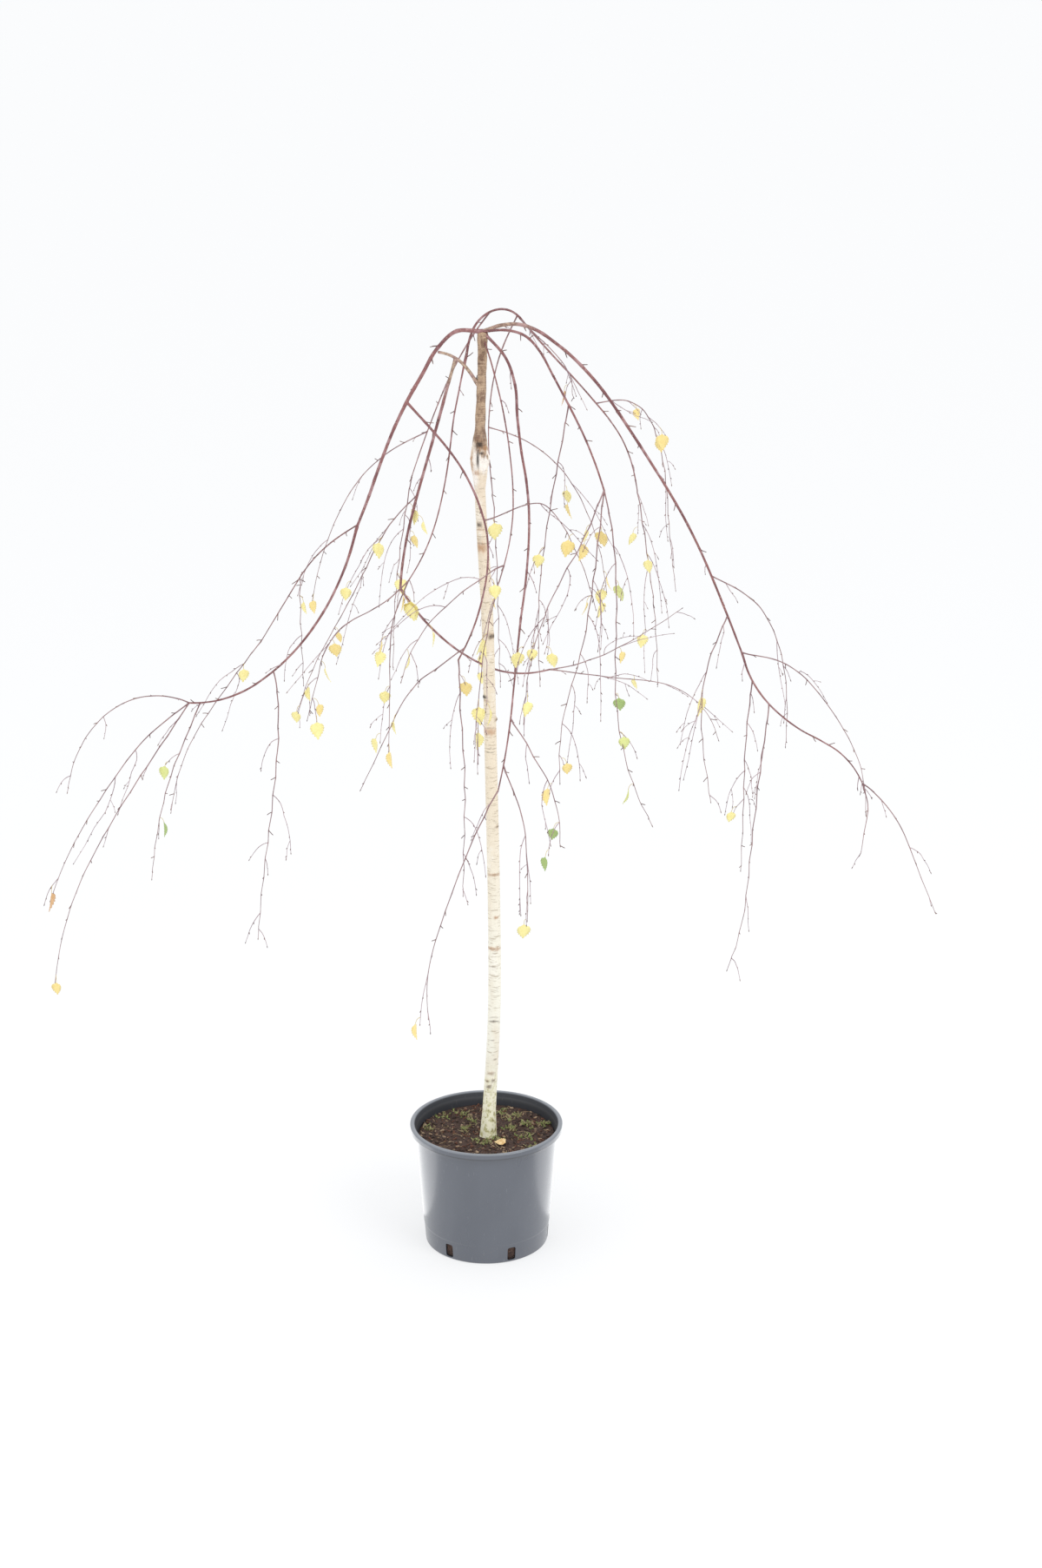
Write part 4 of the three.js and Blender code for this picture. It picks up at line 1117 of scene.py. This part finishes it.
def mossGreen(name, dark, light):
    # two greens mixed by fine noise
    material, tree, shader = newMaterial(name, 0.75)
    shade = noise(tree, 260)
    setColour(tree, shader, mixColours(tree, band(tree, shade, 0.36, 0.62), dark, light))
    setBump(tree, shader, noise(tree, 1500, (1, 1, 1), 2), 0.0002)
    return material


for name, kind, dark, light in (("fresh_moss", fresh, rgb(124, 140, 78), rgb(178, 188, 122)),
                                ("dry_moss", ~fresh, rgb(128, 118, 78), rgb(190, 180, 138))):
    leaflets = np.repeat(kind, len(leafletStart) // len(shootLines))
    lines, leafy = shootLines[kind], leafletLines[leaflets]
    part = joinParts([
        tubes(lines, np.broadcast_to(shootRadii, lines.shape[:2]), 4),
        tubes(leafy, np.broadcast_to(leafletRadii, leafy.shape[:2]), 3)])
    makePiece(name, part, mossGreen(name, dark, light))


def fallenLeaf():
    # one blade lying on the soil in front of the stem, its face up
    place = np.array([[0.034, -0.040]])
    place = np.column_stack([place, soilLevelAt(*place.T) + 0.004])
    level = squared(np.array([[-0.9, 0.35, 0.05]]), np.array([[0.0, 0.0, 1.0]]))
    blade = leafBlades(place, level, np.array([[0.05, -0.35, 0.93]]), np.array([0.021]),
                       np.array([0.10]))
    material, tree, shader = newMaterial("tan_fallen_leaf", 0.7)
    uneven = band(tree, noise(tree, 160), 0.4, 0.6)
    setColour(tree, shader, mixColours(tree, uneven, rgb(214, 176, 118), rgb(236, 208, 156)))
    setBump(tree, shader, noise(tree, 700), 0.0003)
    leafPiece("fallen_leaf", blade, material)


fallenLeaf()
print("soil strewn")


# The pot: moulded blue-grey plastic with a thick lip, a small step low down and drain windows.
potLow, potHigh = (np.array(corner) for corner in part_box("pot"))
pot = {
    "sides": 192,
    "height": float(potHigh[2]), "lipRadius": float(potHigh[0] - potLow[0]) / 2,
    "footRadius": 0.1075, "neckRadius": 0.1240,
    "lipWidth": 0.008, "lipDepth": 0.011, "wall": 0.0025, "insideFrom": 0.0012, "floor": 0.003,
    "lipSkirt": 0.0042,     # how far the lip's skirt stands in from its edge
    "baseRise": 0.0015, "baseInset": 0.012,       # the raised middle of the underside
    "stepHeight": 0.034, "stepOut": 0.0006, "stepTall": 0.002,
    "neckDrop": 0.020,      # where the wall starts to flare into the lip
    "footRound": 0.003, "lipRound": 0.0026, "cornerSteps": 6,
    "windows": 6, "windowWidth": 0.015, "windowHeight": 0.024, "windowRise": 0.004,
    "firstWindow": -66, "windowRound": 0.0035, "windowReach": 0.010,
    "sharpAngle": 32,       # degrees past which an edge stays crisp
}
potSlope = (pot["neckRadius"] - pot["footRadius"]) / pot["height"]
underLip = pot["height"] - pot["lipDepth"]


def roundedProfile(corners):
    # each corner gives way to an arc: a quadratic curve from a little before it to a little after
    places = np.array([corner[:2] for corner in corners])
    rounds = np.array([corner[2] for corner in corners])
    made = [places[:1]]
    t = np.linspace(0, 1, pot["cornerSteps"])[:, None]
    for before, here, after, size in zip(places[:-2], places[1:-1], places[2:], rounds[1:-1]):
        into = (before - here) / np.linalg.norm(before - here)
        out = (after - here) / np.linalg.norm(after - here)
        start, end = here + into * size, here + out * size
        made.append((1 - t) ** 2 * start + 2 * t * (1 - t) * here + t**2 * end)
    made.append(places[-1:])
    return np.concatenate(made)


def potSkin():
    # the profile carried round the axis, closed on the axis at both of its ends
    height, lip, wall = pot["height"], pot["lipRadius"], pot["wall"]
    foot, neck, base = pot["footRadius"], pot["neckRadius"], pot["baseRise"]
    low, high = pot["stepHeight"], pot["stepHeight"] + pot["stepTall"]
    drop = pot["neckDrop"]
    profile = roundedProfile([
        (0.0, base, 0), (foot - pot["baseInset"], base, 0.001),
        (foot - pot["baseInset"] + 0.002, 0.0, 0.0008), (foot, 0.0, pot["footRound"]),
        (foot + potSlope * low, low, 0.001), (foot + potSlope * high + pot["stepOut"], high, 0.001),
        (neck - potSlope * drop, height - drop, 0.002), (neck + 0.0008, underLip + wall, 0.002),
        (lip - pot["lipSkirt"], underLip + wall + 0.001, 0.0016),
        (lip - pot["lipSkirt"] + 0.0002, underLip, 0.001), (lip - 0.0008, underLip, 0.0012),
        (lip, height, pot["lipRound"] * 1.2), (lip - pot["lipWidth"], height, pot["lipRound"]),
        (neck - wall, underLip - 0.001, 0.004), (foot - wall, pot["floor"], 0.002),
        (0.0, pot["floor"], 0)])
    turn = np.arange(pot["sides"]) / pot["sides"] * 2 * math.pi
    radius, z = profile[1:-1, :1], profile[1:-1, 1:] + 0 * turn
    grid = np.stack([radius * np.cos(turn), radius * np.sin(turn), z], -1)
    places = np.vstack([grid.reshape(-1, 3), [0, 0, profile[0, 1]], [0, 0, profile[-1, 1]]])
    return (places, *ringFaces(*grid.shape[:2]))


def windowCutters():
    # Blocks set round the foot of the pot, each an outline with a quarter circle at every corner,
    # carried straight through the wall.
    wide, tall, corner = pot["windowWidth"] / 2, pot["windowHeight"] / 2, pot["windowRound"]
    quarter = np.radians(np.linspace(0, 90, 5))
    outline = np.concatenate([
        np.stack([right * (wide - corner) + corner * np.cos(quarter + start),
                  over * (tall - corner) + corner * np.sin(quarter + start)], -1)
        for right, over, start in ((1, 1, 0), (-1, 1, math.pi / 2), (-1, -1, math.pi),
                                   (1, -1, 1.5 * math.pi))])
    n = len(outline)
    faces = [list(range(n))[::-1], list(range(n, 2 * n))]
    faces += [[k, (k + 1) % n, n + (k + 1) % n, n + k] for k in range(n)]
    places, allFaces = [], []
    turns = np.arange(pot["windows"]) / pot["windows"] * 2 * math.pi
    for number, turn in enumerate(math.radians(pot["firstWindow"]) + turns):
        out = np.array([math.cos(turn), math.sin(turn), 0])
        along = np.array([-math.sin(turn), math.cos(turn), 0])
        middle = np.array([0, 0, pot["windowRise"] + tall])
        for reach in (-pot["windowReach"], pot["windowReach"]):
            away = pot["footRadius"] + reach
            places.append(middle + out * away + outline[:, :1] * along
                          + outline[:, 1:] * np.array([0, 0, 1]))
        allFaces += [[number * 2 * n + k for k in face] for face in faces]
    mesh = bpy.data.meshes.new("window_cutters")
    mesh.from_pydata(np.concatenate(places).tolist(), [], allFaces)
    cutters = bpy.data.objects.new("window_cutters", mesh)
    scene.collection.objects.link(cutters)
    return cutters


def cutWindows(piece):
    # the piece less the cutters, kept as its mesh, with edges past the sharp angle left crisp
    cutters = windowCutters()
    cut = piece.modifiers.new("drain windows", "BOOLEAN")
    cut.operation, cut.object, cut.solver = "DIFFERENCE", cutters, "EXACT"
    depsgraph = bpy.context.evaluated_depsgraph_get()
    cutMesh = bpy.data.meshes.new_from_object(piece.evaluated_get(depsgraph))
    piece.modifiers.clear()
    oldMesh, piece.data = piece.data, cutMesh
    bpy.data.meshes.remove(oldMesh)
    bpy.data.objects.remove(cutters)
    cutMesh.set_sharp_from_angle(angle=math.radians(pot["sharpAngle"]))


def potPlastic():
    # Blue-grey with a faint haze. A point is inside where it is nearer the axis than the middle
    # of the wall at its height; there painted shade darkens the plastic, which is rougher and has no
    # coat.
    material, tree, shader = newMaterial("blue_grey_pot_plastic", 0.28, Specular_IOR_Level=0.75,
                                         Coat_Weight=0.5, Coat_Roughness=0.22)
    place = objectPlace(tree)
    height = heightOf(tree, place)
    haze = noise(tree, 16, (1, 1, 0.5), 3)
    colour = mixColours(tree, band(tree, haze, 0.35, 0.65), rgb(80, 85, 95), rgb(84, 89, 99))
    plan = addNode(tree, "ShaderNodeVectorMath", {0: place, 1: (1.0, 1.0, 0.0)},
                   operation="MULTIPLY").outputs[0]
    outward = addNode(tree, "ShaderNodeVectorMath", {0: plan}, operation="LENGTH").outputs["Value"]
    wallHere = plus(tree, times(tree, height, potSlope), pot["footRadius"] - pot["insideFrom"])
    lipShift = pot["lipRadius"] - pot["lipWidth"] - pot["neckRadius"] + 0.0020
    wallHere = plus(tree, wallHere,
                    band(tree, height, underLip - 0.001, pot["height"], 0, lipShift))
    insideWall = band(tree, minus(tree, outward, wallHere), 0.0004, -0.0004)
    # painted shade: the inside wall is given a darker colour
    colour = mixColours(tree, insideWall, colour, rgb(40, 43, 51))
    # painted shade in the corner under the lip, and a painted highlight on the rim
    corner = times(tree, band(tree, height, underLip - 0.006, underLip - 0.001),
                   band(tree, height, underLip + 0.004, underLip + 0.001))
    # painted shade: a dark band just under the lip, where its shadow falls
    colour = mixColours(tree, times(tree, corner, 0.8), colour, rgb(50, 52, 57))
    # painted highlight: a lighter band along the top of the rim, where it faces the light
    rim = band(tree, height, pot["height"] - 0.0022, pot["height"] - 0.0006, 0, 0.5)
    colour = mixColours(tree, rim, colour, rgb(138, 144, 152))
    # dried mud specks in some places, thicker at the foot, and upright scuffs
    specks = noise(tree, 520, (1, 1, 1), 3, 0.6)
    muddy = noise(tree, 30)
    low = band(tree, height, 0.05, 0.004, 0.0, 0.5)
    mud = times(tree, band(tree, specks, 0.62, 0.70), plus(tree, low, 0.22))
    mud = times(tree, mud, band(tree, muddy, 0.45, 0.65))
    colour = mixColours(tree, mud, colour, rgb(128, 112, 94))
    scuffs = noise(tree, 1, (420, 420, 60))
    colour = mixColours(tree, band(tree, scuffs, 0.66, 0.74, 0, 0.25), colour, rgb(132, 137, 143))
    setColour(tree, shader, colour)
    setBump(tree, shader, plus(tree, noise(tree, 900), times(tree, haze, 0.5)), 0.00012)
    rough = plus(tree, band(tree, haze, 0.2, 0.8, 0.27, 0.30), times(tree, insideWall, 0.4))
    tree.links.new(rough, shader.inputs["Roughness"])
    coat = times(tree, minus(tree, 1, insideWall), 0.5)
    tree.links.new(coat, shader.inputs["Coat Weight"])
    return material


cutWindows(makePiece("nursery_pot", potSkin(), potPlastic(), ["pot"]))
print("pot moulded")


# The white studio: a plain floor, two soft lamps, and two discs lying on the floor beside the pot
# that face up and are seen only in its gloss.
studio = {
    "floorColour": (0.35, 0.352, 0.355, 1), "floorRadius": 500, "floorSides": 64,
    "floorDrop": 0.0003,    # the floor lies this far under the pot
    "glowColour": (0.985, 0.992, 1.0, 1), "floorGlow": 0.63,
    "skyColour": (0.985, 0.99, 1.0, 1), "skyStrength": 1.0,
    "keyPower": 50, "keySize": 2.4, "keyPlace": (2.4, -2.4, 3.4),
    "fillPower": 18, "fillSize": 3.0, "fillPlace": (-2.8, -1.8, 2.2),
    "crownMiddle": (0, 0, 0.8),  # what the lamps aim at
    "leftPower": 5.5, "rightPower": 4.5, "glossSize": 1.48, "glossPlace": (0.62, 0.62, 0.004),
}
camera = {"place": (0.0606, -4.145, 2.183), "dip": 17.96, "lens": 59.83, "sensor": 36.0, "far": 1200}


def makeFloor():
    # one wide round face, pale and glowing a little, with no gloss
    turn = np.arange(studio["floorSides"]) / studio["floorSides"] * 2 * math.pi
    rim = np.stack([np.cos(turn), np.sin(turn), 0 * turn], -1) * studio["floorRadius"]
    mesh = bpy.data.meshes.new("plain_floor")
    mesh.from_pydata(rim.tolist(), [], [list(range(len(rim)))])
    floor = bpy.data.objects.new("plain_floor", mesh)
    floor.location.z = -studio["floorDrop"]
    material, _, shader = newMaterial("plain_white_floor", 0.9, Specular_IOR_Level=0,
                                      Emission_Strength=studio["floorGlow"])
    shader.inputs["Base Color"].default_value = studio["floorColour"]
    shader.inputs["Emission Color"].default_value = studio["glowColour"]
    mesh.materials.append(material)
    scene.collection.objects.link(floor)


def softLight(name, power, size, place, target):
    # a round area lamp turned from its place towards its target
    light = bpy.data.lights.new(name, "AREA")
    light.energy, light.shape, light.size = power, "DISK", size
    lamp = bpy.data.objects.new(name, light)
    lamp.location = place
    aim = np.array(target) - np.array(place)
    lamp.rotation_euler = (math.acos(-aim[2] / np.linalg.norm(aim)), 0,
                           math.atan2(aim[1], aim[0]) - math.pi / 2)
    scene.collection.objects.link(lamp)
    return lamp


makeFloor()
for name in ("key", "fill"):
    softLight(name + "_softbox", studio[name + "Power"], studio[name + "Size"],
              studio[name + "Place"], studio["crownMiddle"])
for name, side in (("left", -1), ("right", 1)):
    across, back, up = studio["glossPlace"]
    disc = softLight(name + "_gloss", studio[name + "Power"], studio["glossSize"],
                     (side * across, back, up), (side * across, back, up + 1))
    disc.visible_camera, disc.visible_diffuse = False, False
world = bpy.data.worlds.new("white_studio")
world.use_nodes = True
sky = world.node_tree.nodes["Background"]
sky.inputs["Color"].default_value = studio["skyColour"]
sky.inputs["Strength"].default_value = studio["skyStrength"]
scene.world = world
scene.view_settings.view_transform = "Standard"
lensData = bpy.data.cameras.new("camera")
lensData.lens, lensData.sensor_width = camera["lens"], camera["sensor"]
lensData.clip_end = camera["far"]
viewpoint = bpy.data.objects.new("camera", lensData)
viewpoint.location = camera["place"]
viewpoint.rotation_euler = (math.radians(90 - camera["dip"]), 0, 0)
scene.collection.objects.link(viewpoint)
scene.camera = viewpoint

bpy.context.view_layer.update()
